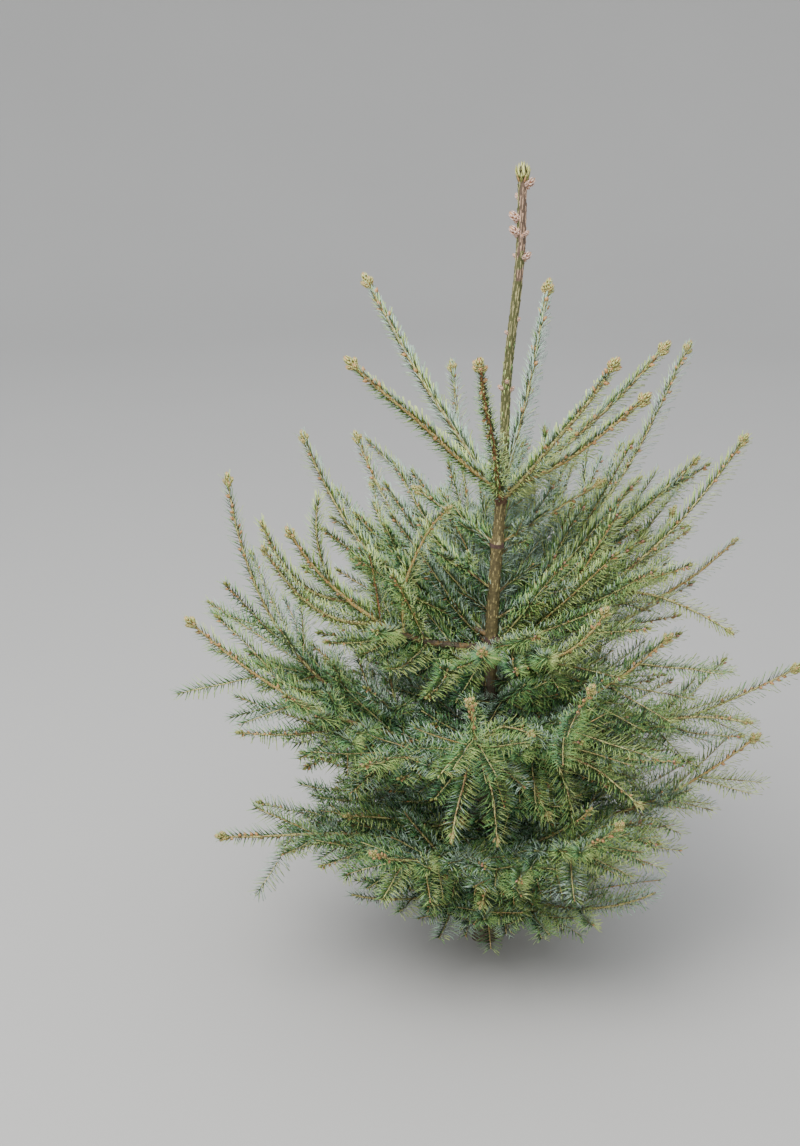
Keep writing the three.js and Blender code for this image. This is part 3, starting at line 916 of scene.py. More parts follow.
# Leaf cushions: how far they are scattered, lengthened and turned, the soft ends of their ridges, and
# the height and width of their pegs
CUSHION = {"scatter": mm(2.5), "longer": 0.45, "swerve": 0.16, "over": mm(2), "end": mm(1), "peg": mm(1.3),
           "peg_width": 0.75, "seed": 31}

# How high each kind of relief is on old bark, and how much higher on young bark, which begins and is
# complete at these heights. Rough bark is noise with so many waves a metre
RELIEF = {"ridge": (0.35, 0.65), "peg": (0.6, 0.9), "coarse": (1.0, -0.8), "fine": (0.672, -0.48)}
YOUNG_BARK = (0.25, 0.6)
WAVES = {"coarse": 90, "fine": 260, "knob": 150}
KNOB = {"relief": 2.2, "height": mm(11)}
# Height over which the relief begins above the cut
FOOT = mm(4)


def cushions(z, angle, radius, tops, tail, width):
    """Relief of the leaf cushions in their spiral, from 0 in the grooves to 1 on the ridges, and
    where each peg ends, from 0 to 1."""
    ridge = np.zeros_like(z)
    peg = np.zeros_like(z)
    order = np.argsort(z)
    heights = z[order]
    end, over = CUSHION["end"], CUSHION["over"]
    chance = np.random.default_rng(CUSHION["seed"]).uniform(-1, 1, (len(tops), 3))
    for i, (top, (swerve, longer, higher)) in enumerate(zip(tops, chance)):
        top = top + CUSHION["scatter"] * higher
        reach = tail * (1 + CUSHION["longer"] * longer)
        near = order[np.searchsorted(heights, top - reach):np.searchsorted(heights, top + over)]
        below = top - z[near]
        turn = angle[near] - i * GOLDEN_ANGLE - CUSHION["swerve"] * swerve * (1 + 2 * below / reach)
        arc = np.abs((turn + math.pi) % FULL_TURN - math.pi) * radius[near]
        across = np.exp(-(arc / width) ** 2)
        lengthwise = smoothstep(-below, -reach, -end) * smoothstep(-below, over, -end)
        ridge[near] = np.maximum(ridge[near], across * lengthwise)
        from_peg = arc / (width * CUSHION["peg_width"])
        point = np.exp(-((below / CUSHION["peg"]) ** 2)) * np.exp(-(from_peg ** 2))
        peg[near] = np.maximum(peg[near], point)
    return ridge, peg


def grain(points, waves, seed):
    """Noise at each point, from -1 to 1, with so many waves a metre."""
    shift = Vector((seed * 7.1, seed * 3.7, seed * 1.9))
    return np.array([noise.noise(Vector(p) * waves + shift) for p in points])


def trunk_skin(low, high, bark, step, around, tail, width):
    """A length of the trunk with its relief, whose leaf cushions have this length and width."""
    def place(v, angle):
        z = low + (high - low) * v
        radius = trunk_radius(z, angle)
        tops = np.arange(low + FOOT, high, bark.peg_spacing)
        ridge, peg = cushions(z, angle, radius, tops, tail, width)
        young = smoothstep(z, *YOUNG_BARK)
        smooth = ring_of(angle) * radius[:, None] + UP * z[:, None]
        parts = {"ridge": ridge, "peg": peg, "coarse": grain(smooth, WAVES["coarse"], 1),
                 "fine": grain(smooth, WAVES["fine"], 2)}
        relief = sum(part * (RELIEF[name][0] + RELIEF[name][1] * young) for name, part in parts.items())
        relief += KNOB["relief"] * at_whorls(z, KNOB["height"]) * grain(smooth, WAVES["knob"], 3)
        relief *= bark.relief * (smoothstep(z, 0, FOOT) if low == 0 else 1)
        return trunk_centre(z) + ring_of(angle) * (radius + relief)[:, None]

    return skin(int(round((high - low) / step)), around, place)


def stands_out(middle, bark):
    """Where a face is round the trunk, and how far it stands out, against the height of the relief."""
    aside = middle.x - float(trunk_centre(middle.z)[0])
    angle = math.atan2(middle.y, aside)
    return angle, (math.hypot(aside, middle.y) - float(trunk_radius(middle.z, angle))) / bark.relief


def paint_faces(bm, names, choose):
    """Gives each face the look that choose names for its middle."""
    for face in bm.faces:
        face.material_index = names.index(choose(face.calc_center_median()))
        face.smooth = True


class SPRUCE_OT_trunk(bpy.types.Operator):
    """Build the trunk up to the top whorl, with its pegs, knots and root flare"""
    bl_idname = "spruce.trunk"
    bl_label = "Trunk"

    def execute(self, context):
        bark = context.scene.spruce_bark
        bases = {"old_bark": bark.old, "young_bark": bark.young, "knot_bark": bark.knot,
                 "flecked_bark": bark.ridge_pale, "orange_bark": context.scene.spruce_twigs.rust}
        bm = trunk_skin(0, LEADER_START, bark, **TRUNK_SKIN)
        paint_faces(bm, list(bases), lambda middle: self.look(middle, bark))
        looks = [bark_material(name, base) for name, base in bases.items()]
        new_piece("trunk_bark", mesh_from(bm, "trunk_bark"), looks, ["trunk"])
        return {"FINISHED"}

    def look(self, middle, bark):
        """Ragged knots at the whorls, old bark low down, and pegs and pale ridges above it."""
        old_below, peg_above, fleck_above = 0.42, 1.7, 0.58
        from_whorl = min(abs(middle.z - w["height"]) / w["knot"] for w in WHORLS.values())
        rough = noise.noise(middle * 120)
        if from_whorl < 1 + 0.5 * rough:
            return "knot_bark"
        if middle.z < old_below + 0.05 * rough:
            return "old_bark"
        _, raised = stands_out(middle, bark)
        if raised > peg_above:
            return "knot_bark" if rough > 0.1 else "orange_bark"
        # Paler bark where the relief stands out most, the young bark in the grooves between
        return "flecked_bark" if raised > fleck_above + 0.3 * noise.noise(middle * 60) else "young_bark"


class SPRUCE_OT_leader(bpy.types.Operator):
    """Build the leading shoot, ridged by the cushions its needles stood on"""
    bl_idname = "spruce.leader"
    bl_label = "Leading Shoot"

    def execute(self, context):
        bark = context.scene.spruce_bark
        # The rosy grooves are the rosy ridge colour darkened as painted shade
        rows = {"groove_bark": (bark.groove, 0.2), "ridge_bark": (bark.ridge, 0.18),
                "rose_bark": (bark.rose, 0.2), "peg_bark": (bark.peg, 0.32),
                "rosy_groove_bark": (tinted(bark.rose, 0.22), 0.2)}
        bm = trunk_skin(LEADER_START - LEADER_OVERLAP, LEADER_END, bark, **LEADER_SKIN)
        paint_faces(bm, list(rows), lambda middle: self.look(middle, bark))
        looks = [bark_material(name, base, contrast=contrast) for name, (base, contrast) in rows.items()]
        new_piece("leader_bark", mesh_from(bm, "leader_bark"), looks, ["trunk"])
        return {"FINISHED"}

    def look(self, middle, bark):
        """Ridges and grooves that turn rosy near the tip, on the side that faces the viewer's right."""
        knot_below, peg_above, rosy_above, groove_below = 0.708, 1.5, 1.01, 0.64
        rosy_side = math.radians(-40)
        angle, raised = stands_out(middle, bark)
        if middle.z < knot_below + 0.006 * noise.noise(middle * 160):
            return "peg_bark"
        if raised > peg_above and noise.noise(middle * 150) > 0.25:
            return "peg_bark"
        rosy = math.cos(angle - rosy_side) > 0.5 * noise.noise(middle * 90)
        rosy = rosy and middle.z > rosy_above + 0.06 * noise.noise(middle * 60)
        # Painted shade in the grooves and painted highlight on the ridges, over their own colours
        if raised < groove_below + 0.3 * noise.noise(middle * 70):
            return "rosy_groove_bark" if rosy else "groove_bark"
        return "rose_bark" if rosy else "ridge_bark"


# Boughs: their rough wood, against the trunk's relief, and the collar where they leave the trunk. They are
# grey but for brown patches, where noise with so many waves a metre is low
BOUGH = {"step": mm(4), "around": 10, "relief": 2.0, "waves": (210, 480), "fine": 0.7,
         "collar": (0.5, mm(14)), "first_season": 0.95, "overlap": 0.93, "dulled": 0.85}
BROWN_PATCHES = {"waves": 70, "below": -0.05}


def bough_reach(branch):
    """How far out a branch's rough old wood goes, as a share of it."""
    return max(WHORLS[branch.whorl]["bough"], float(branch.ends[0]) * BOUGH["first_season"])


class SPRUCE_OT_boughs(bpy.types.Operator):
    """Build the boughs: the bare inner wood of the older branches, with rough bark"""
    bl_idname = "spruce.boughs"
    bl_label = "Boughs"

    def execute(self, context):
        twigs = context.scene.spruce_twigs
        joined = bmesh.new()
        nodes = []
        for name, whorl in WHORLS.items():
            mains = [s for s in grown()[name] if s.order == 0] if whorl["bough"] else []
            for index, branch in enumerate(mains):
                nodes.append(f"bough_{name}_{index + 1}")
                mesh = mesh_from(self.limb(branch, context.scene.spruce_bark), "limb")
                joined.from_mesh(mesh)
                bpy.data.meshes.remove(mesh)
        bases = {"bough_grey": tinted(twigs.grey, BOUGH["dulled"]), "bough_brown": twigs.brown}
        paint_faces(joined, list(bases), self.look)
        looks = [bark_material(name, base) for name, base in bases.items()]
        new_piece("bough_bark", mesh_from(joined, "bough_bark"), looks, nodes)
        return {"FINISHED"}

    def look(self, middle):
        patch = noise.noise(middle * BROWN_PATCHES["waves"])
        return "bough_grey" if patch > BROWN_PATCHES["below"] else "bough_brown"

    def limb(self, branch, bark):
        """One bough, from inside the trunk to where its outer wood goes on as a twig."""
        reach = bough_reach(branch)
        wider, height = BOUGH["collar"]
        coarse, fine = BOUGH["waves"]

        def place(v, angle):
            u = v * reach
            _, upward, left = branch.frames(u)
            radius = branch.radius(u) * (1 + wider * np.exp(-u * branch.length / height))
            out = left * np.cos(angle)[:, None] + upward * np.sin(angle)[:, None]
            smooth = branch.line(u) + out * radius[:, None]
            relief = grain(smooth, coarse, branch.seed) + BOUGH["fine"] * grain(smooth, fine, 5)
            return smooth + out * (relief * bark.relief * BOUGH["relief"])[:, None]

        return skin(int(branch.length * reach / BOUGH["step"]), BOUGH["around"], place)


# Twigs

# Bark of the twigs: the one that flecks it, and its grain, contrast, roughness and depth
TWIG_BARKS = {
    "pale": ("brown", 700, 0.2, 0.7, 0.0002),
    "amber": ("pale", 700, 0.25, 0.7, 0.0002),
    "rust": ("amber", 700, 0.25, 0.7, 0.0002),
    "brown": ("pale", 600, 0.28, 0.8, 0.0003),
    "grey": ("brown", 500, 0.3, 0.88, 0.0004),
}
TWIG_LOOKS = list(TWIG_BARKS)
FLECKED_BY = [TWIG_LOOKS.index(by) for by, *_ in TWIG_BARKS.values()]
FLECKED = 0.32
AMBER_SHARE = 0.18

# Twigs' tubes: corners round them by order, rows' spacing on main and other shoots, and the height of
# their knobs with the waves that place them by row and by turn
TWIG_CORNERS = (7, 4, 3)
TWIG_SPACING = (mm(4.5), mm(12))
KNOBBLY = 0.09
KNOB_WAVES = (7.3, 2.1)


def mass_nodes(name):
    """The frame's masses of one whorl."""
    return [f"needles_{name}_{i + 1}" for i in range(len(WHORLS[name]["branches"]))]


class SPRUCE_OT_twigs(bpy.types.Operator):
    """Build the twigs of every whorl, each a tapering tube along its shoot"""
    bl_idname = "spruce.twigs"
    bl_label = "Twigs"

    def execute(self, context):
        twigs = context.scene.spruce_twigs
        looks = [bark_material(f"{name}_twig", getattr(twigs, name), *surface)
                 for name, (_, *surface) in TWIG_BARKS.items()]
        for name, shoots in grown().items():
            heap = Heap()
            for shoot in shoots:
                self.twig(heap, shoot)
            new_piece(f"twigs_{name}", heap.mesh(f"twigs_{name}"), looks, mass_nodes(name))
        return {"FINISHED"}

    def twig(self, heap, shoot):
        """A tapering tube along a shoot, from the end of its bough, with a look for each face."""
        main = shoot.order == 0
        start = bough_reach(shoot) * BOUGH["overlap"] if main and WHORLS[shoot.whorl]["bough"] else 0.0
        around = TWIG_CORNERS[min(shoot.order, 2)]
        spacing = TWIG_SPACING[0 if main or shoot.bark else 1]
        rows = max(3, int(shoot.length * (1 - start) / spacing) + 1)
        u = np.linspace(start, 1, rows)
        along, upward, left = shoot.frames(u)
        centre = shoot.line(u)
        turn = np.arange(around) * FULL_TURN / around
        by_row, by_turn = KNOB_WAVES
        knobs = np.sin(by_row * np.arange(rows)[:, None] + by_turn * turn[None])
        radius = shoot.radius(u)[:, None] * (1 + KNOBBLY * knobs)
        rim = left[:, None] * np.cos(turn)[None, :, None] + upward[:, None] * np.sin(turn)[None, :, None]
        ring = centre[:, None] + rim * radius[:, :, None]
        ends = np.stack((centre[0] - along[0] * shoot.base * 0.5, centre[-1] + along[-1] * shoot.tip))
        vertices = np.concatenate((ring.reshape(-1, 3), ends))[None]
        heap.add(vertices, tube_triangles(rows, around), self.looks(shoot, u, around)[None])

    def looks(self, shoot, u, around):
        """The look of each face: by the age of the wood, flecked with another."""
        drawn = "amber" if shoot.draws("bark").next() < AMBER_SHARE else "pale"
        by_age = [TWIG_LOOKS.index(look) for look in (shoot.bark or drawn, "brown", "grey")]
        age = np.clip(shoot.age((u[:-1] + u[1:]) / 2), 1, 3)
        stretch = np.repeat(np.take(by_age, age - 1), 2 * around)
        flecked = np.random.default_rng(shoot.seed).random(len(stretch)) < FLECKED
        stretch = np.where(flecked, np.take(FLECKED_BY, stretch), stretch)
        return np.concatenate((stretch, np.repeat((stretch[0], stretch[-1]), around)))


# Needles

# By whorl: tint, needles along a shoot, their length and width, and the share of sprays with frost
NEEDLE_RULES = {
    "top": {"tint": 2.9, "density": 1.6, "length": 1.16, "width": 1.38, "frosted": 0},
    "middle": {"tint": 3.0, "density": 1.3, "length": 1.0, "width": 1.15, "frosted": 0.1},
    "second": {"tint": 3.0, "density": 1.08, "length": 1.12, "width": 1.02, "frosted": 0.1},
    "third": {"tint": 2.3, "density": 0.88, "length": 1.08, "width": 0.92, "frosted": 0.12},
    "fourth": {"tint": 2.5, "density": 0.86, "length": 1.08, "width": 0.92, "frosted": 0.3},
    "fifth": {"tint": 2.5, "density": 0.88, "length": 1.04, "width": 0.92, "frosted": 0.4},
}
# The triangles after which a new piece begins, the fewest needles on a shoot, and where they begin: at
# this share of it, or this far out where that is less
NEEDLE_LIMIT = 150000
FEWEST_NEEDLES = 4
BARE_START = (0.2, mm(3))

# Tints from dark to light, then the two that don't follow the light
TINTS = ["shade", "deep", "green", "fresh", "olive", "straw", "pale", "under"]
STRAW, PALE, UNDER = (TINTS.index(tint) for tint in ("straw", "pale", "under"))
# What is added to a spray's tint: outwards, by how much and from which share of the reach on, for young
# wood, for each older year, by bunch, where the shoot is bare, and by chance for sprays and for needles
# Painted shade and light: the outward part darkens sprays near the trunk and lightens outer ones
OUTWARD_TINT = (2.8, 0.6)
YOUNG_TINT = 1.0
YEARLY_TINT = -0.6
BUNCH_TINT = 1.1
BARE_TINT = -2.0
SPRAY_TINT = (-0.7, 0.7)
NEEDLE_TINT = (-0.4, 0.4)
# The share of needles that are pale on a frosted spray
FROST = 0.6

# The place on a shoot that stands for its spray
SPRAY_MIDDLE = 0.6

# The back, which the photo doesn't show: where it begins and is complete, how much lighter it is, and
# how many of its needles are pale on the side towards the trunk
# Painted light: the back's tint is lifted, and faces towards the trunk turn pale, partly frost and partly
# painted light
BACK = (-0.05, 0.12)
LIFT_AT_THE_BACK = 1.6
PALE_AT_THE_BACK = 0.7

# Faces that look towards the trunk or down, by their normals, and how many needles show undersides
INWARD = -0.1
DOWNWARD = -0.35
UNDERSIDES = 0.8

# A needle's strip: its faces, and the widths and the twist of its two edges
NEEDLE_FACES = np.array([(0, 1, 2), (0, 3, 1), (2, 1, 3), (2, 3, 0)])
ROOT_WIDTH = 0.85
POINT_WIDTH = 0.5
TWIST = 0.42

# Needles kept where the shoot is bare, then of the last season, the two before it and older ones,
# and how long they are where it is bare
KEPT_WHERE_BARE = 0.6
KEPT_BY_AGE = (1.0, 0.92, 0.7, 0.5)
STUB = 0.4

# Needles stand in bunches, so far apart and so close together, and stray along and round the shoot
BUNCH = mm(5.2)
BUNCHING = 0.8
STRAY_ALONG = (-0.4, 0.4)
STRAY_ROUND = 0.2

# They are combed off the underside of shoots that rise less than the first of these, and not at all
# where shoots rise by the second more
LEVEL = (0.15, 0.5)
COMBED = {"young": 0.4, "older": 0.9, "under": 0.85, "over": 0.28}

# How far they lean off the shoot in degrees, and what that loses. It varies by bunch and by needle, and
# all needles turn up a little
LEAN = {"young": 62, "older": 66, "above": 20, "at_the_tip": 24, "steep": 10}
LEAN_VARIES = (0.12, 0.06)
LAST_PART = (0.8, 1.0)
UPTURN = 0.04

# Their lengths: the least in a season's growth and what its middle adds, those of young shoots at its
# start and what they lose to its tip, those on the weakest shoots and the length that makes up for it,
# and how they vary by bunch. Both length and radius vary by needle
SEASON_LENGTH = (0.70, 0.30)
SEASON_PART = (0.85, 0.15)
SEASON_BLUNTNESS = 0.7
YOUNG_LENGTH = (1.12, 0.48)
WEAK_LENGTH = (0.80, 0.3)
BUNCH_LENGTH = 0.1
VARIED = (0.88, 1.12)
# How deep in the wood they stand, against its radius, and how near the ground they come
ROOTED = 0.7
ABOVE_GROUND = mm(1)


def needle_shapes(base, direction, length, radius):
    """Needles as slim strips, closed by four faces: an edge at the root and a narrower one at the
    point, each turned a little the other way, which gives the strip its thickness."""
    side = unit(np.cross(direction, UP))
    above = np.cross(side, direction)
    point = base + direction * length[:, None]
    corners = []
    for end, width, twist in ((base, ROOT_WIDTH, TWIST), (point, POINT_WIDTH, -TWIST)):
        edge = (side * math.cos(twist) + above * math.sin(twist)) * (radius * width)[:, None]
        corners += [end + edge, end - edge]
    return np.stack(corners, 1)


def needle_looks(shapes, tint, underside=False, frost_and_light_within=False):
    """The tint of each face of each strip: faces that look down take the underside's, those at the
    point are a shade lighter as painted light, and those at the root a shade darker as painted
    shade. Where the mask within is set, the faces that look towards the trunk are pale, partly
    frost and partly painted light."""
    corners = shapes[:, NEEDLE_FACES]
    normal = unit(np.cross(corners[:, :, 1] - corners[:, :, 0], corners[:, :, 2] - corners[:, :, 0]))
    # Painted light at the needles' points and painted shade at their roots
    lighter = np.where(tint < STRAW, tint + 1, tint)[:, None]
    darker = np.where(tint < PALE, np.maximum(tint - 1, 0), tint)[:, None]
    upper = np.where(np.arange(len(NEEDLE_FACES)) >= 2, lighter, darker)
    looks = np.where((normal[:, :, 2] < DOWNWARD) & np.reshape(underside, (-1, 1)), UNDER, upper)
    # Faces towards the trunk turn pale where the mask is set: partly frost, partly painted light
    outward = (normal[:, :, :2] * unit(shapes[:, :1, :2])).sum(-1)
    return np.where((outward < INWARD) & np.reshape(frost_and_light_within, (-1, 1)), PALE, looks)


class Spray:
    """The needles along one shoot, in a spiral that is combed flat where the shoot lies level.
    Its steps share one row of draws, so they are always taken in the same order."""

    def __init__(self, shoot, settings):
        self.shoot = shoot
        self.settings = settings
        self.rule = NEEDLE_RULES[shoot.whorl]
        self.age_group = "young" if shoot.whorl in YOUNG_WHORLS else "older"
        self.seeded = np.random.default_rng(shoot.seed)
        self.start = min(BARE_START[0], BARE_START[1] / shoot.length)
        per_metre = 100 * settings.density * self.rule["density"]
        self.count = int(shoot.length * (1 - self.start) * per_metre)

    def add_to(self, heap, furthest):
        """Adds the spray's needles, for a whorl whose branches reach this far."""
        if self.count < FEWEST_NEEDLES:
            return
        self.set_out()
        direction = self.comb()
        length, radius = self.sizes()
        base = self.shoot.line(self.u) + self.out * (self.shoot.radius(self.u) * ROOTED)[:, None]
        shapes = needle_shapes(base, direction, length, radius)
        looks = self.looks(shapes, furthest)
        high = shapes[:, :, 2].min(1) > ABOVE_GROUND
        heap.add(shapes[high], NEEDLE_FACES, looks[high])

    def set_out(self):
        """Where the needles stand along the shoot, which are kept, and in which bunch each is."""
        i = np.arange(self.count)
        jitter = self.seeded.uniform(*STRAY_ALONG, self.count)
        u = self.start + (1 - self.start) * (i + 0.5 + jitter) / self.count
        bunch = BUNCH / self.shoot.length
        number = (u / bunch).astype(int)
        closer = BUNCHING * bunch / FULL_TURN * np.sin(FULL_TURN * (u / bunch - 0.5))
        u = np.clip(u - closer, self.start, 1)
        age = self.shoot.age(u)
        chance = np.where(u < self.shoot.bare, KEPT_WHERE_BARE, np.take(KEPT_BY_AGE, np.clip(age, 1, 4) - 1))
        kept = self.seeded.random(self.count) < chance
        self.i, self.u, self.age, self.number = i[kept], u[kept], age[kept], number[kept]
        self.count = len(self.i)
        self.bare = self.u < self.shoot.bare
        season = self.shoot.seasons - self.age
        starts = np.concatenate(([0], self.shoot.ends))[season]
        stops = np.concatenate((self.shoot.ends, [1]))[season]
        self.within = (self.u - starts) / (stops - starts)

    def comb(self):
        """Which way the needles point: round the shoot, but less below it where it lies level."""
        along, upward, left = self.shoot.frames(self.u)
        level = np.clip(1 - (along[:, 2] - LEVEL[0]) / LEVEL[1], 0, 1)
        comb = level * COMBED[self.age_group]
        turn = self.i * GOLDEN_ANGLE + self.seeded.normal(0, STRAY_ROUND, self.count) + math.pi
        turn = turn % FULL_TURN - math.pi
        over = np.abs(turn)
        quarter = math.pi / 2
        over = np.where(over > quarter, quarter + (over - quarter) * (1 - COMBED["under"] * comb),
                        over + comb * COMBED["over"] * (quarter - over))
        turn = np.sign(turn) * over
        number = 2 * self.number + (turn > 0)
        self.by_bunch = self.seeded.uniform(-1, 1, (number.max() + 1, 3))[number]
        self.out = upward * np.cos(turn)[:, None] + left * np.sin(turn)[:, None]
        lean = np.radians(LEAN[self.age_group] - LEAN["above"] * np.clip(np.cos(turn), 0, 1)
                          - LEAN["at_the_tip"] * smoothstep(self.within, *LAST_PART)
                          - LEAN["steep"] * (1 - level))
        by_bunch, by_needle = LEAN_VARIES
        lean += by_bunch * self.by_bunch[:, 0] + self.seeded.normal(0, by_needle, self.count)
        return unit(along * np.cos(lean)[:, None] + self.out * np.sin(lean)[:, None] + UP * UPTURN)

    def sizes(self):
        """Lengths and radii: longest in the middle of a season's growth, shorter on weak shoots."""
        least, more = SEASON_LENGTH
        part = np.clip(self.within * SEASON_PART[0] + SEASON_PART[1], 0, 1)
        profile = least + more * np.sin(np.pi * part) ** SEASON_BLUNTNESS
        if self.age_group == "young":
            profile = profile * (YOUNG_LENGTH[0] - YOUNG_LENGTH[1] * self.within)
        weak = min(WEAK_LENGTH[0] + self.shoot.length / WEAK_LENGTH[1], 1)
        length = self.settings.length * profile * weak * self.rule["length"]
        length = length * (1 + BUNCH_LENGTH * self.by_bunch[:, 1])
        length = length * self.seeded.uniform(*VARIED, self.count) * np.where(self.bare, STUB, 1)
        radius = self.settings.radius * self.seeded.uniform(*VARIED, self.count) * self.rule["width"]
        return length, radius

    def looks(self, shapes, furthest):
        """The tint of each face: painted shade inside and low, painted light outside and high."""
        draws = self.shoot.draws("tint")
        middle = self.shoot.line(SPRAY_MIDDLE)[0]
        steepness, even = OUTWARD_TINT
        # Painted shade near the trunk, painted light at the crown's outside
        outer = min(np.hypot(middle[0], middle[1]) / furthest, 1) - even
        # Painted light on the back foliage
        behind = float(smoothstep(middle[1], *BACK))
        tint = np.zeros(self.count, int)
        for years in range(1, self.shoot.seasons + 1):
            by_age = YOUNG_TINT if years == 1 else YEARLY_TINT * (years - 1)
            value = self.rule["tint"] + self.shoot.lift + by_age + steepness * outer
            value += draws.between(SPRAY_TINT) + LIFT_AT_THE_BACK * behind
            value = value + BUNCH_TINT * self.by_bunch[:, 2] + self.seeded.uniform(*NEEDLE_TINT, self.count)
            value = value + BARE_TINT * self.bare
            tint = np.where(self.age == years, np.clip(np.round(value), 0, STRAW).astype(int), tint)
        frost = FROST if draws.next() < self.rule["frosted"] else 0.0
        if self.shoot.frost is not None:
            frost = self.shoot.frost
        tint = np.where(self.seeded.random(self.count) < frost, PALE, tint)
        # Pale faces towards the trunk at the back: partly frost, partly painted light
        within = self.seeded.random(self.count) < PALE_AT_THE_BACK * behind
        return needle_looks(shapes, tint, self.seeded.random(self.count) < UNDERSIDES, within)


# The last needles of the leading shoot: how many, from which height, how far up and how much denser low
# down, how deep in the bark, and their lean in degrees and length
LEADER_NEEDLES = {"count": 110, "low": 0.712, "height": 0.20, "thinning": 1.5, "sunk": mm(0.3),
                  "lean": (5, 13), "length": (0.4, 0.6), "tints": ("olive", "straw", "fresh"), "seed": 77}


class SPRUCE_OT_needles(bpy.types.Operator):
    """Build the needles along every shoot, tinted spray by spray"""
    bl_idname = "spruce.needles"
    bl_label = "Needles"

    def execute(self, context):
        settings = context.scene.spruce_needles
        looks = [needle_material(f"needle_{tint}", getattr(settings, tint)) for tint in TINTS]
        for name, shoots in grown().items():
            furthest = max(branch[1] for branch in WHORLS[name]["branches"])
            heaps = [Heap()]
            for shoot in shoots:
                if heaps[-1].faces() > NEEDLE_LIMIT:
                    heaps.append(Heap())
                Spray(shoot, settings).add_to(heaps[-1], furthest)
            if name == "top":
                self.leader(heaps[0], settings)
            for number, heap in enumerate(heaps):
                title = f"needles_{name}" if len(heaps) == 1 else f"needles_{name}_part{number + 1}"
                new_piece(title, heap.mesh(title), looks, mass_nodes(name))
        return {"FINISHED"}

    def leader(self, heap, settings):
        """The last needles of the leading shoot, pressed close to it."""
        rule = LEADER_NEEDLES
        seeded = np.random.default_rng(rule["seed"])
        count = rule["count"]
        z = rule["low"] + rule["height"] * seeded.random(count) ** rule["thinning"]
        angle = np.arange(count) * GOLDEN_ANGLE
        base = trunk_centre(z) + ring_of(angle) * (trunk_radius(z, angle) - rule["sunk"])[:, None]
        lean = np.radians(seeded.uniform(*rule["lean"], count))
        direction = unit(UP * np.cos(lean)[:, None] + ring_of(angle) * np.sin(lean)[:, None])
        length = settings.length * seeded.uniform(*rule["length"], count)
        shapes = needle_shapes(base, direction, length, np.full(count, settings.radius))
        tint = seeded.choice([TINTS.index(tint) for tint in rule["tints"]], count)
        heap.add(shapes, NEEDLE_FACES, needle_looks(shapes, tint))


# Buds

def bud_shape(around, heights, radii):
    """A plain pointed bud of unit length and radius, standing on its root."""
    turn = np.arange(around) * FULL_TURN / around
    rings = [ring_of(turn + 0.5 * k) * r + UP * h for k, (h, r) in enumerate(zip(heights, radii))]
    ends = np.array([(0, 0, heights[0] - 0.05), (0, 0, 1)])
    return np.concatenate((*rings, ends)), tube_triangles(len(rings), around)


# A core's corners and heights. A scale's corners are two at its foot, one on its back, its point and one
# inside it. Those on its back and inside it are so far out and so high, against the scale's own measures
CORE_CORNERS = 6
CORE_HEIGHTS = (0, 0.3, 0.65)
SCALE_BACK = (1.16, 0.35)
SCALE_INSIDE = (0.7, 0.3)
SCALE_FACES = np.array([(0, 1, 2), (0, 2, 3), (1, 3, 2), (0, 3, 4), (1, 4, 3), (0, 4, 1)])
UPPER_SCALE_FACES = (1, 2)


def scaly_shape(rows, width, core_radii=(0.6, 0.92, 0.62), core_height=1.0):
    """A plain core with turns of pointed scales round it. Each row says where its scales start, their
    distance from the middle, their rise, how far out they point, and their number."""
    core, core_faces = bud_shape(CORE_CORNERS, CORE_HEIGHTS, core_radii)
    corners, faces = [core * (1, 1, core_height)], [core_faces]
    count = len(core)
    for row, (low, radius, rise, flare, number) in enumerate(rows):
        wide = width * math.pi / number
        for i in range(number):
            middle = (i + 0.5 * row) * FULL_TURN / number
            angles = np.array((middle - wide, middle + wide, middle, middle, middle))
            out = np.array((1, 1, SCALE_BACK[0], flare, SCALE_INSIDE[0])) * radius
            up = low + rise * np.array((0, 0, SCALE_BACK[1], 1, SCALE_INSIDE[1]))
            corners.append(ring_of(angles) * out[:, None] + UP * up[:, None])
            faces.append(SCALE_FACES + count)
            count += len(angles)
    return np.concatenate(corners), np.concatenate(faces)


PLAIN_BUD = bud_shape(5, (0.1, 0.5), (0.75, 1.0))
SCALY_BUD = scaly_shape(((0.04, 0.78, 0.42, 1.12, 6), (0.26, 0.98, 0.42, 1.06, 6),
                         (0.5, 0.84, 0.46, 0.66, 6)), 0.95)
TOP_BUD = scaly_shape(((-0.14, 0.52, 0.50, 1.56, 8), (0.04, 0.66, 0.56, 1.30, 8), (0.22, 0.66, 0.56, 1.10, 7),
                       (0.42, 0.52, 0.48, 0.88, 6), (0.54, 0.26, 0.46, 0.70, 4)),
                      0.90, (0.5, 0.66, 0.5), 0.84)
CORE_FACES = len(tube_triangles(3, CORE_CORNERS))
BUD_LOOKS = ["brown", "rose", "green", "paper", "cream", "dark"]
# A direction that no bud points in
ASKEW = (0.31, 0.17, 0.09)


def add_bud(heap, shape, base, direction, length, radius, look, at_points=None, core="dark"):
    """One bud. The upper faces of its scales and its core may have looks of their own."""
    corners, faces = shape
    direction = unit(np.asarray(direction, float))
    side = unit(np.cross(direction, ASKEW))
    other = np.cross(direction, side)
    across = side * corners[:, :1] + other * corners[:, 1:2]
    places = base + across * radius + direction * corners[:, 2:] * length
    order = np.arange(len(faces)) - CORE_FACES
    scaly = len(faces) > CORE_FACES
    # The core shows only between the scales; its dark look is partly painted shade there
    looks = np.where((order < 0) & scaly, BUD_LOOKS.index(core), BUD_LOOKS.index(look))
    if at_points:
        upper = (order >= 0) & np.isin(order % len(SCALE_FACES), UPPER_SCALE_FACES)
        looks = np.where(upper, BUD_LOOKS.index(at_points), looks)
    heap.add(places[None], faces, looks[None])


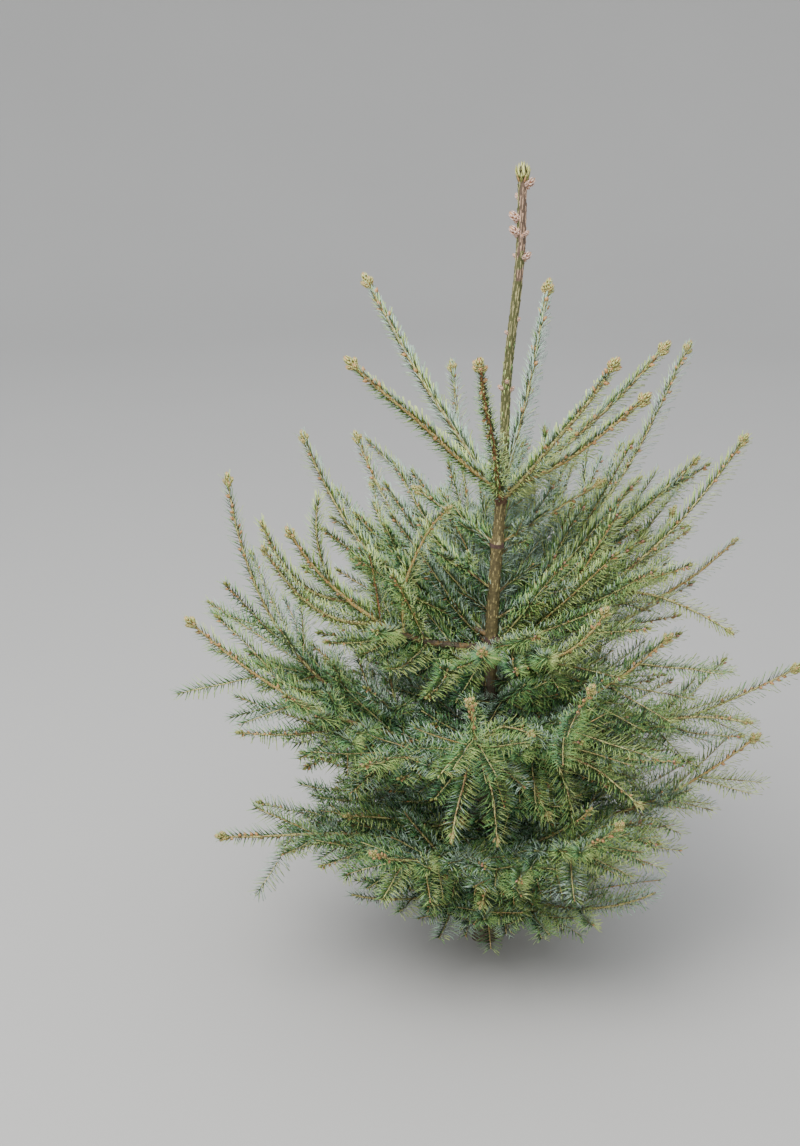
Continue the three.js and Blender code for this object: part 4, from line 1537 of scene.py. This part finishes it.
# The leading shoot's top bud: length and radius, and the ring of small buds round its foot
TOP_BUD_SIZE = (mm(21.5), mm(12.5))
FOOT_BUDS = {"count": 9, "first": 12, "off": mm(4), "below": mm(7), "rise": 66, "length": mm(13),
             "radius": mm(1.4)}

# Single buds up the leading shoot: height, azimuth, length. Each is a cluster: turn, rise and share
LEADER_BUDS = [
    (1.117, 355, 0.017), (1.1, 128, 0.012), (1.074, 182, 0.017), (1.056, 196, 0.017), (1.055, 330, 0.010),
    (1.052, 275, 0.008), (1.05, 92, 0.012), (1.024, 350, 0.015), (1.026, 178, 0.008), (0.99, 60, 0.010),
    (0.943, 340, 0.008), (0.925, 190, 0.008), (0.9, 100, 0.008), (0.86, 268, 0.009), (0.85, 184, 0.010),
    (0.848, 0, 0.010),
]
CLUSTER = ((0, 42, 1), (30, 60, 0.62), (-32, 55, 0.55), (4, -30, 0.4))
CLUSTER_FROM = mm(9)
CLUSTER_SLIM = 0.31
SUNK = mm(1.8)

# Buds at the tips: which side shoots are strong, the size there by kind of shoot, and against it the
# length and radius of the end bud, of those round it and of those along the shoot
STRONG = {"length": 0.13, "seasons": 3}
SIZE_AT_THE_TIP = {"top": 1.3, "main": 1.0, "side": 0.7}
END_BUD = (1.35, 0.36)
ROUND_BUD = (1.05, 0.27)
ALONG_BUD = (0.75, 0.24)
WEAK_BUD = {"share": 0.5, "length": (0.38, 0.55), "radius": 0.28, "brown": 0.35, "sunk": mm(0.8)}
END_SUNK = mm(2)
ROUND_BUDS = {"main": 5, "side": 3, "splay": 0.72, "looks": ("green", "brown", "rose"),
              "below": (mm(5.5), mm(9)), "off": mm(1.2)}

# Buds along a strong shoot, from its tip down to this far past the last season's start: the first step,
# those near the tip, which ends at a share of the shoot, and those below it
ALONG = {"stop": 0.1, "no_season": 0.25, "first": (0.014, 0.022), "near": (0.007, 0.013),
         "near_above": 0.85, "apart": (0.02, 0.05), "forward": 0.8, "rooted": 0.5, "least_length": 0.1}


class SPRUCE_OT_buds(bpy.types.Operator):
    """Build the winter buds: a cluster on the leading shoot, and buds at the tips of the twigs"""
    bl_idname = "spruce.buds"
    bl_label = "Buds"

    def execute(self, context):
        buds = context.scene.spruce_buds
        looks = [scale_material(f"bud_{look}", getattr(buds, look)) for look in BUD_LOOKS]
        heap = Heap()
        self.leader(heap)
        new_piece("buds_leader", heap.mesh("buds_leader"), looks, ["trunk"])
        heap = Heap()
        for shoot in itertools.chain(*grown().values()):
            self.tip(heap, shoot, buds.length)
        nodes = [node for name in WHORLS for node in mass_nodes(name)]
        new_piece("buds_twigs", heap.mesh("buds_twigs"), looks, nodes)
        return {"FINISHED"}

    def leader(self, heap):
        """The top bud with small ones round its foot, and the side buds of the leading shoot."""
        top = trunk_centre(LEADER_END)
        foot = FOOT_BUDS
        add_bud(heap, TOP_BUD, top, UP, *TOP_BUD_SIZE, "green", "cream")
        for i in range(foot["count"]):
            azimuth = 360 / foot["count"] * i + foot["first"]
            base = top + heading(azimuth, 0) * foot["off"] - UP * foot["below"]
            add_bud(heap, PLAIN_BUD, base, heading(azimuth, foot["rise"]), foot["length"], foot["radius"],
                    ("green", "brown")[i % 2])
        for height, azimuth, length in LEADER_BUDS:
            off = float(trunk_radius(height)) - SUNK
            for turn, rise, share in CLUSTER if length >= CLUSTER_FROM else CLUSTER[:1]:
                base = trunk_centre(height) + heading(azimuth + turn, 0) * off
                add_bud(heap, SCALY_BUD, base, heading(azimuth + turn, rise), length * share,
                        CLUSTER_SLIM * length * share, "rose", "paper", "brown")

    def tip(self, heap, shoot, size):
        """The end bud of a shoot, with side buds round it and along it where the shoot is strong."""
        draws = shoot.draws("buds")
        main = shoot.order == 0
        outer = shoot.order == 1 and shoot.length > STRONG["length"] and shoot.seasons < STRONG["seasons"]
        if shoot.whorl == "fifth" or not (main or outer):
            self.weak_tip(heap, shoot, size, draws)
            return
        kind = "main" if main else "side"
        size *= SIZE_AT_THE_TIP["top" if shoot.whorl == "top" else kind]
        shape = SCALY_BUD if main or shoot.bark else PLAIN_BUD
        along, upward, left = (v[0] for v in shoot.frames(1.0))
        end = shoot.line(1.0)[0]
        add_bud(heap, shape, end - along * END_SUNK, along, *(size * k for k in END_BUD),
                "green", "cream", "brown")
        for i in range(ROUND_BUDS[kind]):
            a = FULL_TURN * (i + draws.next() * 0.5) / ROUND_BUDS[kind]
            aside = upward * math.cos(a) + left * math.sin(a)
            base = end - along * ROUND_BUDS["below"][i % 2] + aside * ROUND_BUDS["off"]
            add_bud(heap, shape, base, along + aside * ROUND_BUDS["splay"], *(size * k for k in ROUND_BUD),
                    ROUND_BUDS["looks"][i % 3], "cream", "brown")
        self.along(heap, shoot, size, draws)

    def weak_tip(self, heap, shoot, size, draws):
        """The one small bud that some of the weaker shoots end in."""
        length = size * draws.between(WEAK_BUD["length"])
        if draws.next() < WEAK_BUD["share"]:
            along = shoot.frames(1.0)[0][0]
            look = "brown" if draws.next() < WEAK_BUD["brown"] else "green"
            add_bud(heap, PLAIN_BUD, shoot.line(1.0)[0] - along * WEAK_BUD["sunk"], along, length,
                    length * WEAK_BUD["radius"], look)

    def along(self, heap, shoot, size, draws):
        """Side buds along the last season of a strong shoot, close together near its tip."""
        last = float(shoot.ends[-1]) if shoot.seasons > 1 else ALONG["no_season"]
        u = 1 - draws.between(ALONG["first"]) / max(shoot.length, ALONG["least_length"])
        while u > last + ALONG["stop"]:
            a = draws.between((0, FULL_TURN))
            forward, above, aside = (v[0] for v in shoot.frames(u))
            out = unit(forward * ALONG["forward"] + (above * math.cos(a) + aside * math.sin(a)))
            where = shoot.line(u)[0] + out * float(shoot.radius(u)) * ALONG["rooted"]
            add_bud(heap, PLAIN_BUD, where, out, *(size * k for k in ALONG_BUD), "brown")
            u -= draws.between(ALONG["near" if u > ALONG["near_above"] else "apart"]) / shoot.length


# Studio

# The floor's flat part, its bend, the wall above it, and how finely it is divided round and up the bend
FLOOR = {"flat": 4.6, "bend": 2.4, "wall": 2.5, "steps": 96, "rows": 13}
SKY_COLOUR = (0.93, 0.96, 1.0, 1.0)
LAMP_COLOUR = (1.0, 0.98, 0.95)
LAMP_SIZE = 2.6
OVERHEAD = (-1.2, -1.4, 3.4)
IN_FRONT = (-0.4, -3.6, 1.5)
LIT_PLACE = (0, 0, 0.5)
CAMERA_PLACE = (-0.13, -2.094, 1.35)
SENSOR_WIDTH = 36


class SPRUCE_OT_studio(bpy.types.Operator):
    """Build the floor, the soft light and the camera"""
    bl_idname = "spruce.studio"
    bl_label = "Studio"

    def execute(self, context):
        studio = context.scene.spruce_studio
        self.floor(studio)
        self.sky(studio)
        self.softbox("overhead", studio.lamp, OVERHEAD)
        self.softbox("front", studio.fill, IN_FRONT)
        data = bpy.data.cameras.new("camera")
        data.lens = studio.lens
        data.sensor_width = SENSOR_WIDTH
        camera = bpy.data.objects.new("camera", data)
        context.scene.collection.objects.link(camera)
        camera.location = CAMERA_PLACE
        camera.rotation_euler = (math.pi / 2 - studio.pitch, 0, 0)
        context.scene.camera = camera
        return {"FINISHED"}

    def floor(self, studio):
        """A flat floor that turns up into a wall all round."""
        flat, bend, wall = FLOOR["flat"], FLOOR["bend"], FLOOR["wall"]
        profile = [(0, 0), (flat * 0.5, 0)]
        turns = np.linspace(0, math.pi / 2, FLOOR["rows"])
        profile += [(flat + bend * math.sin(a), bend * (1 - math.cos(a))) for a in turns]
        profile.append((flat + bend, bend + wall))
        bm = bmesh.new()
        verts = [bm.verts.new((x, 0, z)) for x, z in profile]
        edges = [bm.edges.new(pair) for pair in zip(verts, verts[1:])]
        bmesh.ops.spin(bm, geom=verts + edges, cent=(0, 0, 0), axis=(0, 0, 1), angle=FULL_TURN,
                       steps=FLOOR["steps"], use_merge=True)
        bmesh.ops.remove_doubles(bm, verts=bm.verts, dist=1e-5)
        bmesh.ops.recalc_face_normals(bm, faces=bm.faces)
        for face in bm.faces:
            face.smooth = True
        mesh = mesh_from(bm, "floor")
        graph = Graph("studio_floor")
        graph.paint(graph.speckle(1.2, 3.0), studio.floor, 0.97, 1.03)
        graph.feed("Roughness", 0.9)
        mesh.materials.append(graph.material)
        floor = bpy.data.objects.new("floor", mesh)
        bpy.context.scene.collection.objects.link(floor)
        floor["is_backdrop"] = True

    def sky(self, studio):
        """Even light from all round."""
        world = bpy.data.worlds.new("studio_sky")
        world.use_nodes = True
        sky = world.node_tree.nodes["Background"]
        sky.inputs["Color"].default_value = SKY_COLOUR
        sky.inputs["Strength"].default_value = studio.sky
        bpy.context.scene.world = world

    def softbox(self, name, power, place):
        """A wide round lamp that faces the tree."""
        data = bpy.data.lights.new(name, "AREA")
        data.shape = "DISK"
        data.size = LAMP_SIZE
        data.energy = power
        data.color = LAMP_COLOUR
        lamp = bpy.data.objects.new(name, data)
        bpy.context.scene.collection.objects.link(lamp)
        lamp.location = place
        aim = Vector(LIT_PLACE) - Vector(place)
        lamp.rotation_euler = aim.to_track_quat("-Z", "Y").to_euler()


class SPRUCE_PT_panel(bpy.types.Panel):
    """The spruce's pieces, in the order in which they are built"""
    bl_idname = "SPRUCE_PT_panel"
    bl_label = "Young Spruce"
    bl_space_type = "VIEW_3D"
    bl_region_type = "UI"
    bl_category = "Spruce"

    def draw(self, context):
        for operator in OPERATORS:
            self.layout.operator(operator.bl_idname)


OPERATORS = (SPRUCE_OT_trunk, SPRUCE_OT_leader, SPRUCE_OT_boughs, SPRUCE_OT_twigs, SPRUCE_OT_needles,
             SPRUCE_OT_buds, SPRUCE_OT_studio)
SETTINGS = {"spruce_bark": SpruceBark, "spruce_twigs": SpruceTwigs, "spruce_needles": SpruceNeedles,
            "spruce_buds": SpruceBuds, "spruce_studio": SpruceStudio}
CLASSES = (*SETTINGS.values(), *OPERATORS, SPRUCE_PT_panel)


def register():
    for cls in CLASSES:
        bpy.utils.register_class(cls)
    for name, group in SETTINGS.items():
        setattr(bpy.types.Scene, name, PointerProperty(type=group))


def unregister():
    for name in SETTINGS:
        delattr(bpy.types.Scene, name)
    for cls in reversed(CLASSES):
        bpy.utils.unregister_class(cls)


def main():
    register()
    bpy.ops.spruce.trunk()
    bpy.ops.spruce.leader()
    bpy.ops.spruce.boughs()
    bpy.ops.spruce.twigs()
    bpy.ops.spruce.needles()
    bpy.ops.spruce.buds()
    bpy.ops.spruce.studio()
    boxes = {"cad": CAD_BOX, "visual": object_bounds()}
    {name: [list(corner) for corner in box] for name, box in boxes.items()}


if __name__ == "__main__":
    main()
